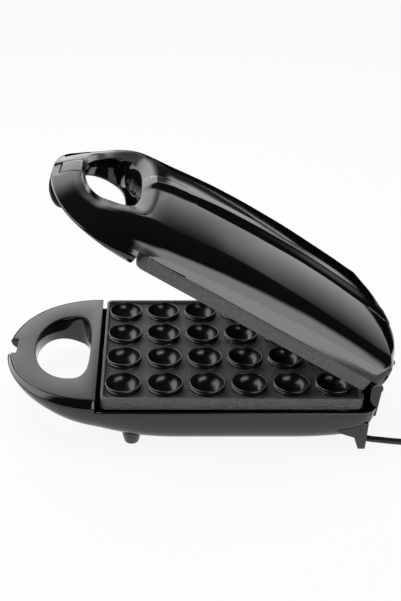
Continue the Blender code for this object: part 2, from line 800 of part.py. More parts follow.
def tube(name, route, radius, bevel_steps, surface):
    """A round tube with flat ends along straight runs between the route's points."""
    curve = bpy.data.curves.new(name, "CURVE")
    curve.dimensions = "3D"
    curve.bevel_depth = radius
    curve.bevel_resolution = bevel_steps
    curve.use_fill_caps = True
    spline = curve.splines.new("POLY")
    spline.points.add(len(route) - 1)
    for point, place in zip(spline.points, route):
        point.co = (*place, 1.0)
    curve.materials.append(surface)
    made = bpy.data.objects.new(name, curve)
    bpy.context.scene.collection.objects.link(made)
    return made


def smooth_route(points, spacing):
    """Evenly spaced points on a smooth curve through the route's own points."""
    ends = [points[0], *points, points[-1]]
    fine = []
    for a, b, c, d in zip(ends, ends[1:], ends[2:], ends[3:]):
        a, b, c, d = (Vector(point) for point in (a, b, c, d))
        for k in range(CURVE_SAMPLES):
            t = k / CURVE_SAMPLES
            fine.append(
                0.5 * (2.0 * b + (c - a) * t + (2.0 * a - 5.0 * b + 4.0 * c - d) * t * t
                       + (3.0 * b - 3.0 * c + d - a) * t ** 3)
            )
    fine.append(Vector(points[-1]))
    reach = [0.0]
    for start, end in zip(fine, fine[1:]):
        reach.append(reach[-1] + (end - start).length)
    count = max(2, round(reach[-1] / spacing))
    route = []
    k = 0
    for step in range(count + 1):
        wanted = reach[-1] * step / count
        while k < len(reach) - 2 and reach[k + 1] < wanted:
            k += 1
        share = (wanted - reach[k]) / (reach[k + 1] - reach[k])
        route.append(tuple(fine[k].lerp(fine[k + 1], share)))
    return route


def latch_hook_curve(offset):
    """Middle line of the hook, moved outwards by an offset, from its knuckle to its end."""
    front = HANDLE_ROOT_X - LID_HANDLE_LENGTH + LATCH_HOOK_FROM_TIP
    centre_x = front + LATCH_HOOK_REACH
    start = above(LATCH_HOOK_START_HEIGHT)
    reach = LATCH_HOOK_REACH + offset
    depth = LATCH_HOOK_DEPTH + offset
    points = []
    for k in range(LATCH_HOOK_STEPS + 1):
        angle = 0.5 * math.pi * k / LATCH_HOOK_STEPS
        power = 2.0 / LATCH_HOOK_POWER
        points.append((
            centre_x - reach * math.cos(angle) ** power,
            start - depth * math.sin(angle) ** power,
        ))
    return points


def latch_pivot():
    x = HANDLE_ROOT_X - LID_HANDLE_LENGTH + LATCH_PIVOT_FROM_TIP
    return x, above(LATCH_PIVOT_HEIGHT)


def make_latch_clip():
    """A knuckle on the pin, and a thin hook that wraps the base's tip when the lid is shut."""
    pivot_x, pivot_z = latch_pivot()
    half = LATCH_THICKNESS / 2.0
    outer = latch_hook_curve(half)
    inner = latch_hook_curve(-half)
    brow = math.pi * LATCH_BROW_TURN_SHARE
    outline = [(
        pivot_x + LATCH_BROW_RADIUS * math.cos(brow), pivot_z + LATCH_BROW_RADIUS * math.sin(brow)
    )]
    for k in range(HINGE_SIDES + 1):
        angle = brow - math.pi * CLIP_TURN_SHARE * (k + 1.0) / (HINGE_SIDES + 1.0)
        outline.append((
            pivot_x + LATCH_KNUCKLE_RADIUS * math.cos(angle),
            pivot_z + LATCH_KNUCKLE_RADIUS * math.sin(angle),
        ))
    end_x, end_z = outer[-1]
    tab = [(end_x + LATCH_TAB, end_z), (end_x + LATCH_TAB, end_z + LATCH_THICKNESS)]
    outline += inner + tab[::-1] + outer[::-1]
    wide = LATCH_WIDTH / 2.0
    clip = side_prism("latch_clip", outline, -wide, wide, gloss_black())
    bore = cylinder_along_y(
        "latch_bore", LATCH_PIN_RADIUS + PART_GAP, -LATCH_WIDTH, LATCH_WIDTH,
        latch_pivot(), SMALL_SIDES,
    )
    boolean(clip, bore)


def make_base():
    """Lower housing: hollow, with a hand hole, a latch recess at the tip and hinge posts."""
    cover_floor = above(-COVER_THICKNESS - PART_GAP)
    deep = above(-BASE_DEPTH) - OVERRUN
    shell = base_solid("base_shell", 0.0, above(-SEAM_GAP / 2.0), gloss_black())
    hollow = base_solid("base_hollow", SHELL_WALL, above(OVERRUN))
    boolean(hollow, prism("base_hole_wall", base_hole(HOLE_WALL), deep, above(2.0 * OVERRUN)))
    bulkhead = prism(
        "base_bulkhead",
        box_outline(HANDLE_ROOT_X - BULKHEAD, HANDLE_ROOT_X, -BODY_WIDTH, BODY_WIDTH),
        deep, above(2.0 * OVERRUN),
    )
    boolean(hollow, bulkhead)
    keeper_half = LATCH_WIDTH / 2.0 + LATCH_SIDE_GAP + KEEPER_MARGIN
    hole_front = HANDLE_ROOT_X - HOLE_CENTRE_FROM_ROOT - BASE_HOLE_FRONT_REACH
    keeper = prism(
        "base_keeper",
        box_outline(hole_front - BASE_HANDLE_LENGTH, hole_front, -keeper_half, keeper_half),
        deep, above(2.0 * OVERRUN),
    )
    boolean(hollow, keeper)
    screw_posts = turned(
        "base_screw_posts",
        ((SCREW_BOSS_RADIUS, deep), (SCREW_BOSS_RADIUS, above(2.0 * OVERRUN))),
        screw_places(), SMALL_SIDES,
    )
    boolean(hollow, screw_posts)
    plate_under = -LOWER_FLOOR_DEPTH - PLATE_THICKNESS - PART_GAP
    reflector_under = lower_reflector_height() - PART_GAP
    posts = turned(
        "base_plate_posts",
        (
            (POST_FOOT_RADIUS, deep), (POST_FOOT_RADIUS, above(reflector_under)),
            (POST_RADIUS, above(reflector_under)), (POST_RADIUS, above(plate_under)),
        ),
        post_places(), SMALL_SIDES,
    )
    boolean(hollow, posts)
    boolean(shell, hollow)
    pocket = prism("base_cover_pocket", base_cover_outline(PART_GAP), cover_floor, above(OVERRUN))
    boolean(shell, pocket)
    body_top = prism(
        "base_body_top",
        box_outline(
            HANDLE_ROOT_X, HANDLE_ROOT_X + 2.0 * BODY_LENGTH, -BODY_WIDTH, BODY_WIDTH
        ),
        above(-BASE_RIM_DEPTH), above(OVERRUN),
    )
    boolean(body_top, posts)
    boolean(shell, body_top)
    boolean(shell, prism("base_hand_hole", base_hole(0.0), deep, above(OVERRUN)))
    pilot = turned(
        "base_screw_pilots",
        (
            (SCREW_SHANK_RADIUS + PART_GAP, above(-SCREW_LENGTH - COVER_THICKNESS)),
            (SCREW_SHANK_RADIUS + PART_GAP, above(OVERRUN)),
        ),
        screw_places(), SMALL_SIDES,
    )
    boolean(shell, pilot)
    boolean(shell, latch_recess())
    add_hinge_posts(shell)
    return shell


def latch_recess():
    """Room for the clip's hook in the base's tip, shaped like the hook's inner face."""
    inner = latch_hook_curve(-LATCH_THICKNESS / 2.0 - LATCH_CLEARANCE)
    far_x = HANDLE_ROOT_X - BASE_HANDLE_LENGTH - OVERRUN
    low_z = above(-BASE_DEPTH)
    end_x, end_z = inner[-1]
    tab_x = end_x + LATCH_TAB + LATCH_CLEARANCE
    outline = [
        (far_x, above(OVERRUN)), (inner[0][0], above(OVERRUN)), *inner,
        (tab_x, end_z), (tab_x, low_z), (far_x, low_z),
    ]
    half = LATCH_WIDTH / 2.0 + LATCH_SIDE_GAP
    return side_prism("latch_recess", outline, -half, half)


def knuckle_outline(radius, foot_front, foot_rear, foot_z, turn):
    """Outline of a hinge knuckle on a foot: a round end about the axis, on a straight stem."""
    x, z = hinge_axis()
    points = [(foot_front, foot_z)]
    for k in range(HINGE_SIDES + 1):
        angle = math.pi * (1.0 - turn * k / HINGE_SIDES)
        points.append((x + radius * math.cos(angle), z + radius * math.sin(angle)))
    points.append((foot_rear, foot_z))
    return points


def add_hinge_posts(shell):
    """Two posts at the base's rear corners, bored for the hinge pins."""
    stem_front = HINGE_X - HINGE_POST_RADIUS
    stem_rear = HANDLE_ROOT_X + BODY_LENGTH - SHELL_WALL / 2.0
    foot = above(-BASE_RIM_DEPTH - 2.0 * HINGE_POST_RADIUS)
    outline = knuckle_outline(HINGE_POST_RADIUS, stem_front, stem_rear, foot, KNUCKLE_TURN_SHARE)
    for side, word in ((-1, "near"), (1, "far")):
        outer = HINGE_POST_INNER_Y + HINGE_POST_WIDTH
        ends = sorted((side * HINGE_POST_INNER_Y, side * outer))
        boolean(shell, side_prism(f"hinge_post_{word}", outline, *ends), "UNION")
        bore_ends = sorted((
            side * (HINGE_POST_INNER_Y - OVERRUN), side * (outer - HINGE_POST_END + PART_GAP)
        ))
        bore = cylinder_along_y(
            f"hinge_bore_{word}", HINGE_PIN_RADIUS + PART_GAP, *bore_ends,
            hinge_axis(), SMALL_SIDES,
        )
        boolean(shell, bore)


def lower_reflector_height():
    return lower_element_height() - ELEMENT_RADIUS - PART_GAP - REFLECTOR_THICKNESS


def upper_reflector_height():
    return upper_element_height() + ELEMENT_RADIUS + PART_GAP


def make_cover(name, outline, hole, low, high, head_low, head_high):
    """A handle cover with the hand hole, four shank holes and seats for the screw heads."""
    cover = prism(name, outline, low, high, cover_grey())
    boolean(cover, prism(f"{name}_hole", hole, low - OVERRUN, high + OVERRUN))
    shanks = turned(
        f"{name}_shank_holes",
        (
            (SCREW_SHANK_RADIUS + PART_GAP, low - OVERRUN),
            (SCREW_SHANK_RADIUS + PART_GAP, high + OVERRUN),
        ),
        screw_places(), SMALL_SIDES,
    )
    seats = turned(
        f"{name}_head_seats",
        (
            (SCREW_HEAD_RADIUS + PART_GAP, head_low),
            (SCREW_HEAD_RADIUS + PART_GAP, head_high),
        ),
        screw_places(), SMALL_SIDES,
    )
    boolean(cover, shanks)
    boolean(cover, seats)
    return cover


def make_screws(name_part, head_outer, direction):
    """Four cover screws, heads at a height, shanks the other way."""
    head_inner = head_outer - direction * SCREW_HEAD_HEIGHT
    end = head_outer - direction * SCREW_LENGTH
    profile = (
        (SCREW_HEAD_RADIUS, head_outer), (SCREW_HEAD_RADIUS, head_inner),
        (SCREW_SHANK_RADIUS, head_inner), (SCREW_SHANK_RADIUS, end),
    )
    for number, place in enumerate(screw_places(), 1):
        turned(f"{name_part}_cover_screw_{number}", profile, [place], SMALL_SIDES, steel())


def make_lid():
    """Upper housing: hollow, with the spine, the hand hole, a latch slot and hinge lugs."""
    high = above(2.0 * LID_HEIGHT)
    cover_roof = above(SEAM_GAP + COVER_THICKNESS + PART_GAP)
    shell = lid_solid("lid_shell", 0.0, above(SEAM_GAP), gloss_black())
    hollow = lid_solid("lid_hollow", SHELL_WALL, above(-OVERRUN))
    boolean(hollow, prism("lid_hole_wall", lid_hole(HOLE_WALL), above(-2.0 * OVERRUN), high))
    boolean(hollow, prism(
        "lid_bulkhead",
        box_outline(HANDLE_ROOT_X - BULKHEAD, HANDLE_ROOT_X, -BODY_WIDTH, BODY_WIDTH),
        above(-2.0 * OVERRUN), high,
    ))
    cheek_half = LATCH_WIDTH / 2.0 + LATCH_SIDE_GAP + LATCH_CHEEK
    hole_front = HANDLE_ROOT_X - HOLE_CENTRE_FROM_ROOT - LID_HOLE_FRONT_REACH
    boolean(hollow, prism(
        "lid_cheeks",
        box_outline(hole_front - LID_HANDLE_LENGTH, hole_front, -cheek_half, cheek_half),
        above(-2.0 * OVERRUN), high,
    ))
    boolean(hollow, turned(
        "lid_screw_posts",
        ((SCREW_BOSS_RADIUS, above(-2.0 * OVERRUN)), (SCREW_BOSS_RADIUS, high)),
        screw_places(), SMALL_SIDES,
    ))
    plate_back = UPPER_FACE_HEIGHT + PLATE_THICKNESS + PART_GAP
    reflector_top = upper_reflector_height() + REFLECTOR_THICKNESS + PART_GAP
    posts = turned(
        "lid_plate_posts",
        (
            (POST_FOOT_RADIUS, high), (POST_FOOT_RADIUS, above(reflector_top)),
            (POST_RADIUS, above(reflector_top)), (POST_RADIUS, above(plate_back)),
        ),
        post_places(), SMALL_SIDES,
    )
    boolean(hollow, posts)
    boolean(shell, hollow)
    pocket = prism("lid_cover_pocket", lid_cover_outline(PART_GAP), above(-OVERRUN), cover_roof)
    boolean(shell, pocket)
    body_under = prism(
        "lid_body_under",
        box_outline(
            HANDLE_ROOT_X, HANDLE_ROOT_X + 2.0 * BODY_LENGTH, -BODY_WIDTH, BODY_WIDTH
        ),
        above(-OVERRUN), above(LID_RIM_HEIGHT),
    )
    boolean(body_under, posts)
    boolean(shell, body_under)
    return shell, high


def finish_lid(shell, high):
    """The hand hole, screw pilots, the slot for clip and bridge, lamp holes and hinge lugs."""
    boolean(shell, prism("lid_hand_hole", lid_hole(0.0), above(-OVERRUN), high))
    boolean(shell, turned(
        "lid_screw_pilots",
        (
            (SCREW_SHANK_RADIUS + PART_GAP, above(-OVERRUN)),
            (SCREW_SHANK_RADIUS + PART_GAP, above(SCREW_LENGTH + COVER_THICKNESS)),
        ),
        screw_places(), SMALL_SIDES,
    ))
    half = LATCH_WIDTH / 2.0 + LATCH_SIDE_GAP
    pivot_x = latch_pivot()[0]
    room = LATCH_KNUCKLE_RADIUS + LATCH_CLEARANCE
    front = HANDLE_ROOT_X - LID_HANDLE_LENGTH - OVERRUN
    outline = box_outline(front, pivot_x + room, -half, half)
    slot = prism("latch_slot", outline, above(-OVERRUN), high)
    boolean(shell, slot)
    boolean(shell, bridge_recess(PART_GAP))
    cheek = half + LATCH_CHEEK + OVERRUN
    boolean(shell, cylinder_along_y(
        "latch_pin_bore", LATCH_PIN_RADIUS + PART_GAP, -cheek, cheek, latch_pivot(), SMALL_SIDES
    ))
    lamp_holes = turned(
        "lamp_holes",
        ((LAMP_RADIUS + PART_GAP, above(LID_RIM_HEIGHT)), (LAMP_RADIUS + PART_GAP, high)),
        lamp_places(), SMALL_SIDES,
    )
    boolean(shell, lamp_holes)
    add_hinge_lugs(shell)


def bridge_recess(gap):
    """Block over the latch slot, from over the clip's knuckle back to the hand hole."""
    half = LATCH_WIDTH / 2.0 + LATCH_SIDE_GAP - PART_GAP + gap
    front = latch_pivot()[0] - BRIDGE_OVERHANG - OVERRUN * gap / PART_GAP
    rear = HANDLE_ROOT_X - HOLE_CENTRE_FROM_ROOT - LID_HOLE_FRONT_REACH + OVERRUN
    low = above(BRIDGE_LOW) - gap
    top = above(LID_HEIGHT)
    outline = [(front, low), (rear, low), (rear, top), (front, top)]
    return side_prism(f"bridge_block_{'cut' if gap else 'piece'}", outline, -half, half)


def make_latch_bridge():
    """The strip over the latch, flush with the lid's handle, cut to the lid's own surface."""
    bridge = bridge_recess(0.0)
    strip = add_object("latch_bridge", bridge.data.copy(), gloss_black())
    bpy.data.objects.remove(bridge, do_unlink=True)
    skin = lid_solid("bridge_skin", 0.0, above(-OVERRUN))
    hole = prism("bridge_hole", lid_hole(0.0), above(-OVERRUN), above(2.0 * LID_HEIGHT))
    sweep = cylinder_along_y(
        "clip_sweep", LATCH_BROW_RADIUS + LATCH_CLEARANCE, -LATCH_WIDTH, LATCH_WIDTH,
        latch_pivot(), FOOT_SIDES,
    )
    boolean(strip, skin, "INTERSECT")
    boolean(strip, hole)
    boolean(strip, sweep)


def roof_height(from_root, y):
    """Height of the roof beside the spine, over the parting plane."""
    along = from_root / BODY_LENGTH
    stations = list(enumerate(BODY_STATION_SHARES, len(HANDLE_TURN_SHARES)))
    for (i, start), (j, end) in zip(stations, stations[1:]):
        if start <= along <= end:
            share = (along - start) / (end - start)
            crest = mix(LID_CREST_SHARES[i], LID_CREST_SHARES[j], share)
            dome = mix(LID_DOME_SHARES[i], LID_DOME_SHARES[j], share)
    return LID_HEIGHT * (crest + dome * (1.0 - (2.0 * y / BODY_WIDTH) ** 2))


def lamp_places():
    x = HANDLE_ROOT_X + BODY_LENGTH - LAMP_FROM_REAR
    return [(x, -LAMP_Y), (x, LAMP_Y)]


def add_hinge_lugs(shell):
    """Two lugs inside the lid's rear wall, beside the base's posts."""
    inner_y = HINGE_POST_INNER_Y - RUNNING_GAP - LUG_WIDTH
    x, z = hinge_axis()
    front = x - HINGE_POST_RADIUS
    outline = [(front, above(LUG_TOP))]
    for k in range(HINGE_SIDES + 1):
        angle = math.pi * (1.0 + k / HINGE_SIDES)
        outline.append((
            x + HINGE_POST_RADIUS * math.cos(angle), z + HINGE_POST_RADIUS * math.sin(angle)
        ))
    outline.append((x + HINGE_POST_RADIUS, above(LID_RIM_HEIGHT)))
    outline.append((x + LUG_REAR_REACH, above(LUG_TOP)))
    for side, word in ((-1, "near"), (1, "far")):
        ends = sorted((side * inner_y, side * (inner_y + LUG_WIDTH)))
        boolean(shell, side_prism(f"hinge_lug_{word}", outline, *ends), "UNION")
        boolean(shell, cylinder_along_y(
            f"lug_bore_{word}", HINGE_PIN_RADIUS + RUNNING_GAP, ends[0] - OVERRUN,
            ends[1] + OVERRUN, hinge_axis(), SMALL_SIDES,
        ))


def make_hinge_pins():
    inner = HINGE_POST_INNER_Y - RUNNING_GAP - LUG_WIDTH
    outer = HINGE_POST_INNER_Y + HINGE_POST_WIDTH - HINGE_POST_END
    for side, word in ((-1, "near"), (1, "far")):
        ends = sorted((side * inner, side * outer))
        cylinder_along_y(
            f"hinge_pin_{word}", HINGE_PIN_RADIUS, *ends, hinge_axis(), SMALL_SIDES, steel()
        )


def make_feet():
    """Two turned front feet and two angular rear legs, seated on the base's underside."""
    seat = base_solid("feet_seat", -PART_GAP, above(SEAM_GAP))
    top = FOOT_HEIGHT + FOOT_FLARE
    profile = ((FOOT_BOTTOM_RADIUS, 0.0), (FOOT_TOP_RADIUS, FOOT_HEIGHT), (FOOT_TOP_RADIUS, top))
    for side, word in ((-1, "near"), (1, "far")):
        place = (HANDLE_ROOT_X + FOOT_FROM_ROOT, side * (BODY_WIDTH / 2.0 - FOOT_INSET))
        foot = turned(f"front_foot_{word}", profile, [place], FOOT_SIDES, satin_black())
        boolean(foot, seat)
        rear = HANDLE_ROOT_X + BODY_LENGTH - LEG_FROM_REAR
        outer = BODY_WIDTH / 2.0 - LEG_INSET
        outline = [
            (rear - LEG_LENGTH * (1.0 - x_share), LEG_HEIGHT * z_share)
            for x_share, z_share in LEG_OUTLINE_SHARES
        ]
        ends = sorted((side * (outer - LEG_WIDTH), side * outer))
        leg = side_prism(f"rear_leg_{word}", outline, *ends, satin_black())
        boolean(leg, seat)


def make_lid_parts():
    shell, high = make_lid()
    finish_lid(shell, high)
    make_upper_plate()
    make_heating("upper", upper_element_height(), upper_reflector_height())
    low = above(SEAM_GAP)
    cover = make_cover(
        "lid_handle_cover", lid_cover_outline(-PART_GAP), lid_hole(0.0),
        low, low + COVER_THICKNESS, low - OVERRUN, low + SCREW_HEAD_HEIGHT + PART_GAP,
    )
    boolean(cover, bpy.data.objects["latch_slot"])
    make_screws("lid", low, -1.0)
    make_latch_bridge()
    make_latch_clip()
    half = LATCH_WIDTH / 2.0 + LATCH_SIDE_GAP + LATCH_CHEEK
    cylinder_along_y(
        "latch_pin", LATCH_PIN_RADIUS, -half, half, latch_pivot(), SMALL_SIDES, steel()
    )
    for place, word, colour in zip(
        lamp_places(), ("red", "green"), ((0.55, 0.02, 0.02), (0.03, 0.35, 0.06))
    ):
        from_root = BODY_LENGTH - LAMP_FROM_REAR
        top = above(roof_height(from_root, LAMP_Y) + LAMP_STANDS_OUT)
        profile = (
            (LAMP_RADIUS, top - LAMP_DEPTH),
            (LAMP_RADIUS, top - LAMP_STANDS_OUT),
            (LAMP_RADIUS * LAMP_CROWN_SHARE, top),
        )
        surface = lens(f"lens_{word}", colour)
        turned(f"indicator_lamp_{word}", profile, [place], SMALL_SIDES, surface)


def make_base_parts():
    make_lower_plate()
    make_heating("lower", lower_element_height(), lower_reflector_height())
    make_base()
    top = above(0.0)
    cover = make_cover(
        "base_handle_cover", base_cover_outline(-PART_GAP), base_hole(0.0),
        top - COVER_THICKNESS, top, top - SCREW_HEAD_HEIGHT - PART_GAP, top + OVERRUN,
    )
    boolean(cover, bpy.data.objects["latch_recess"])
    make_screws("base", top, 1.0)
    make_hinge_pins()
    make_feet()


def make_electrics():
    """Thermostat and fuse under the plate, and the block where the lead is wired."""
    under = above(-LOWER_FLOOR_DEPTH - PLATE_THICKNESS - PART_GAP)
    centre = PLATE_CENTRE_X + CUP_CENTRE_FROM_PLATE
    can = ((THERMOSTAT_RADIUS, under - THERMOSTAT_HEIGHT), (THERMOSTAT_RADIUS, under))
    turned("thermostat", can, [(centre, 0.0)], FOOT_SIDES, sheet_aluminium())
    fuse_x = centre + CUP_PITCH_X
    route = [
        (fuse_x, share * FUSE_LENGTH, under - FUSE_RADIUS) for share in (-0.5, 0.5)
    ]
    tube("thermal_fuse", route, FUSE_RADIUS, CORD_BEVEL_STEPS, steel())
    block_x, block_y = TERMINAL_BLOCK_FROM_PLATE
    length, width, height = TERMINAL_BLOCK_SIZE
    low = above(-BASE_DEPTH) + SHELL_WALL + PART_GAP
    x = PLATE_CENTRE_X + block_x
    outline = box_outline(
        x - length / 2.0, x + length / 2.0, block_y - width / 2.0, block_y + width / 2.0
    )
    surface = material("cream_plastic", (0.7, 0.66, 0.55), 0.5)
    prism("terminal_block", outline, low, low + height, surface)


def make_strain_relief():
    """A tapered block under the base's rear, bored by the lead that leaves it."""
    start = Vector(CORD_ROUTE[0])
    run = (Vector(CORD_ROUTE[1]) - start).normalized()
    across = Vector((-run.y, run.x, 0.0))
    end = start - run * PART_GAP
    back = end - run * STRAIN_RELIEF_LENGTH
    half = STRAIN_RELIEF_WIDTH / 2.0
    narrow = half * STRAIN_RELIEF_END_SHARE
    outline = [
        (back + across * half).xy, (back - across * half).xy,
        (end - across * narrow).xy, (end + across * narrow).xy,
    ]
    relief = prism(
        "cord_strain_relief", outline, STRAIN_RELIEF_CLEARANCE,
        above(-BASE_DEPTH) + OVERRUN, satin_black(),
    )
    boolean(relief, bpy.data.objects["feet_seat"])


def coil_route():
    """Two flat layers of loops: in on the lower one, a climb of half a turn, out on the upper."""
    x, y = COIL_CENTRE
    half_climb = COIL_CLIMB_TURNS / 2.0
    turns = 2.0 * COIL_TURNS_EACH_WAY + COIL_CLIMB_TURNS
    count = round(turns * COIL_POINTS_PER_TURN)
    middle = turns / 2.0
    low = CORD_RADIUS + TIE_THICKNESS + TIE_GAP
    points = []
    for k in range(count + 1):
        turn = turns * k / count
        from_middle = abs(turn - middle)
        radius = COIL_RADIUS - COIL_PITCH * (middle - from_middle)
        climb = min(1.0, max(0.0, (turn - middle + half_climb) / COIL_CLIMB_TURNS))
        angle = 2.0 * math.pi * (turn - 0.25)
        points.append((
            x + radius * math.cos(angle),
            y + radius * math.sin(angle),
            low + COIL_LAYER_HEIGHT * climb,
        ))
    return points


def least_self_gap(points, radius):
    """Least free space between two loops, measured on a tube's middle line."""
    skip = COIL_POINTS_PER_TURN // 3
    least = min(
        (Vector(a) - Vector(b)).length
        for i, a in enumerate(points)
        for b in points[i + skip:]
    )
    return least - 2.0 * radius


def straight_start(points, back, length):
    """A point before the first one, so that a tube starts with a straight run."""
    first = Vector(points[0])
    run = Vector(back).normalized()
    return [tuple(first + run * length), *points]


def make_cord():
    """The lead along the floor, its coil with a tie, the short tail and the plug."""
    coil = coil_route()
    diameter = 2.0 * CORD_RADIUS
    coil = straight_start(coil, (-1.0, 0.0, 0.0), diameter)
    coil = straight_start(coil[::-1], (1.0, 0.0, 0.0), diameter)[::-1]
    print(f"coil: least gap between loops {least_self_gap(coil, CORD_RADIUS) * 1000.0:.2f} mm")
    tube("cord_coil", coil, CORD_RADIUS, COIL_BEVEL_STEPS, cord_black())
    start = Vector(coil[0]) - Vector((PART_GAP, 0.0, 0.0))
    end = Vector(coil[-1]) + Vector((PART_GAP, 0.0, 0.0))
    lead = [*CORD_ROUTE, tuple(start - Vector((diameter, 0.0, 0.0))), tuple(start)]
    tail = [tuple(end), tuple(end + Vector((diameter, 0.0, 0.0))), *CORD_TAIL_ROUTE]
    for name, route in (("power_cord", lead), ("cord_tail", tail)):
        smooth = smooth_route(route, CORD_POINT_SPACING)
        tube(name, smooth, CORD_RADIUS, CORD_BEVEL_STEPS, cord_black())
    make_tie()
    make_plug(Vector(tail[-1]), Vector(tail[-1]) - Vector(tail[-2]))


def make_tie():
    """A band round the loops, across the coil's far side."""
    x, y = COIL_CENTRE
    smallest = COIL_RADIUS - COIL_PITCH * (COIL_TURNS_EACH_WAY + COIL_CLIMB_TURNS / 2.0)
    sag = TIE_WIDTH ** 2 / smallest / 8.0
    inner = y + smallest - sag - CORD_RADIUS - TIE_GAP
    outer = y + COIL_RADIUS - COIL_PITCH / 2.0 + CORD_RADIUS + TIE_GAP
    low = TIE_THICKNESS
    high = TIE_THICKNESS + 2.0 * TIE_GAP + 2.0 * CORD_RADIUS + COIL_LAYER_HEIGHT

    def band(name, margin, reach, surface=None):
        outline = [
            (inner - margin, low - margin), (outer + margin, low - margin),
            (outer + margin, high + margin), (inner - margin, high + margin),
        ]
        rings = [
            [(x + side * reach, across, z) for across, z in outline] for side in (-1, 1)
        ]
        return add_object(name, mesh_of(name, lambda shape: bridge(shape, rings)), surface)

    tie = band("cord_tie", TIE_THICKNESS, TIE_WIDTH / 2.0, cord_black())
    boolean(tie, band("tie_room", 0.0, TIE_WIDTH))


def make_plug(front, run):
    """A two-pin plug whose cord end meets the tail, turned along the tail's last run."""
    run = Vector((run.x, run.y, 0.0)).normalized()
    across = Vector((-run.y, run.x, 0.0))
    rings = []
    for along, width_share, thick_share in PLUG_STATION_SHARES:
        centre = front + run * (PART_GAP + along * PLUG_LENGTH)
        ring = []
        for k in range(PLUG_SIDES):
            angle = 2.0 * math.pi * (k + 0.5) / PLUG_SIDES
            point = centre + across * (PLUG_WIDTH / 2.0 * width_share * math.cos(angle))
            point.z += PLUG_THICKNESS / 2.0 * thick_share * math.sin(angle)
            ring.append(tuple(point))
        rings.append(ring)
    add_object("plug_body", mesh_of("plug_body", lambda shape: bridge(shape, rings)), cord_black())
    face = front + run * (2.0 * PART_GAP + PLUG_LENGTH)
    for side, word in ((-1, "near"), (1, "far")):
        base = face + across * (side * PLUG_PIN_SPACING / 2.0)
        route = [tuple(base), tuple(base + run * PLUG_PIN_LENGTH)]
        tube(f"plug_pin_{word}", route, PLUG_PIN_RADIUS, CORD_BEVEL_STEPS, steel())


def hang(pieces, name, axis, angle):
    """Parents pieces to an empty on a joint's axis, which turns them about Y."""
    x, z = axis
    pivot = bpy.data.objects.new(name, None)
    bpy.context.scene.collection.objects.link(pivot)
    pivot.location = (x, 0.0, z)
    pivot.rotation_euler = (0.0, angle, 0.0)
    for piece in pieces:
        piece.parent = pivot
        piece.matrix_parent_inverse = Matrix.Translation((-x, 0.0, -z))
    return pivot


def main():
    clear_scene()
    make_base_parts()
    make_electrics()
    make_strain_relief()
    make_cord()
    fixed = set(bpy.data.objects)
    make_lid_parts()
    lid = [item for item in bpy.data.objects if item not in fixed]
    swinging = [item for item in lid if item.name.startswith(("latch_clip", "latch_bore"))]
    clip_pivot = hang(swinging, "latch_clip_axis", latch_pivot(), 0.0)
    lid = [item for item in lid if item not in swinging] + [clip_pivot]
    hang(lid, "lid_axis", hinge_axis(), LID_REST_ANGLE)


main()
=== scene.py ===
# %% [markdown]
# A cookie maker in glossy black plastic, dressed in Blender.
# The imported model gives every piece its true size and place. This file gives them their looks:
# smooth housings, turned cups, coatings, a lead and the light they are seen in. Each step has a
# few words first, then a short cell of code. All lengths are in metres.

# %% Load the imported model
import bisect
import json
import math
from functools import partial

import bmesh
import bpy
from mathutils import Matrix, Vector


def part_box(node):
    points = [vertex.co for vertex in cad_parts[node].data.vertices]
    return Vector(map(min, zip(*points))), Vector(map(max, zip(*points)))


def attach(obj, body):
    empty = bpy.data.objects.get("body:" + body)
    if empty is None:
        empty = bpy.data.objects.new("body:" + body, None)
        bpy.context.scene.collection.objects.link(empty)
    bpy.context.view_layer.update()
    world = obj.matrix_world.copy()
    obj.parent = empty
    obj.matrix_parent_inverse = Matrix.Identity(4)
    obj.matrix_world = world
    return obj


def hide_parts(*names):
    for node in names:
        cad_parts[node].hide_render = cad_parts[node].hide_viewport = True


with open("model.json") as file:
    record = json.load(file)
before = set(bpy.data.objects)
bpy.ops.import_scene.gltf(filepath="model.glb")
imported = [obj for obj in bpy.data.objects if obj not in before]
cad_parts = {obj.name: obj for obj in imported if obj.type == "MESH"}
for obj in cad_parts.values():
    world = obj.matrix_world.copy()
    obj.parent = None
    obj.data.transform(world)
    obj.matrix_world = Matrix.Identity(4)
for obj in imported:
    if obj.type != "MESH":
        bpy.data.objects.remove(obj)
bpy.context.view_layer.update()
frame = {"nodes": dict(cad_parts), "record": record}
nodes = frame["nodes"]
print("pieces from the packed model:", len(nodes))

# %% [markdown]
# The camera stands in front of the cooker and looks down on it. Its height, tilt and focal length
# were worked out from the grid of cups, whose rows and columns are evenly spaced on the real
# plate. The picture is cut from the upper left of a wider view, which a lens shift repeats.

# %% Camera
PICTURE_HEIGHT = 601.0
FOCAL_PIXELS = 886.2
SENSOR = 36.0
CAMERA_PLACE = (-0.0498, -0.7706, 0.52245)
CAMERA_TILT = math.radians(56.527)
LENS_SHIFT = (0.0871, 0.1337)


def linked(name, data):
    """A new object in the scene."""
    made = bpy.data.objects.new(name, data)
    bpy.context.scene.collection.objects.link(made)
    return made


def add_camera():
    data = bpy.data.cameras.new("camera")
    data.sensor_width = SENSOR
    data.lens = SENSOR * FOCAL_PIXELS / PICTURE_HEIGHT
    data.shift_x, data.shift_y = LENS_SHIFT
    camera = linked("camera", data)
    camera.location = CAMERA_PLACE
    camera.rotation_euler = (CAMERA_TILT, 0.0, 0.0)
    bpy.context.scene.camera = camera
    return data.lens


print("focal length:", round(add_camera(), 2), "mm")

# %% [markdown]
# Gloss black shows nothing of its own: what is seen on it is the room. So the room comes before
# the materials. The camera sees white all round. The gloss sees a dark room instead, with a few
# soft-edged panels of light, set by direction in the world and by place on the floor. An even
# light and two softboxes serve everything that isn't gloss.

# %% Small helpers for node trees
def new_material(name):
    made = bpy.data.materials.new(name)
    made.use_nodes = True
    return made, made.node_tree.nodes, made.node_tree.links


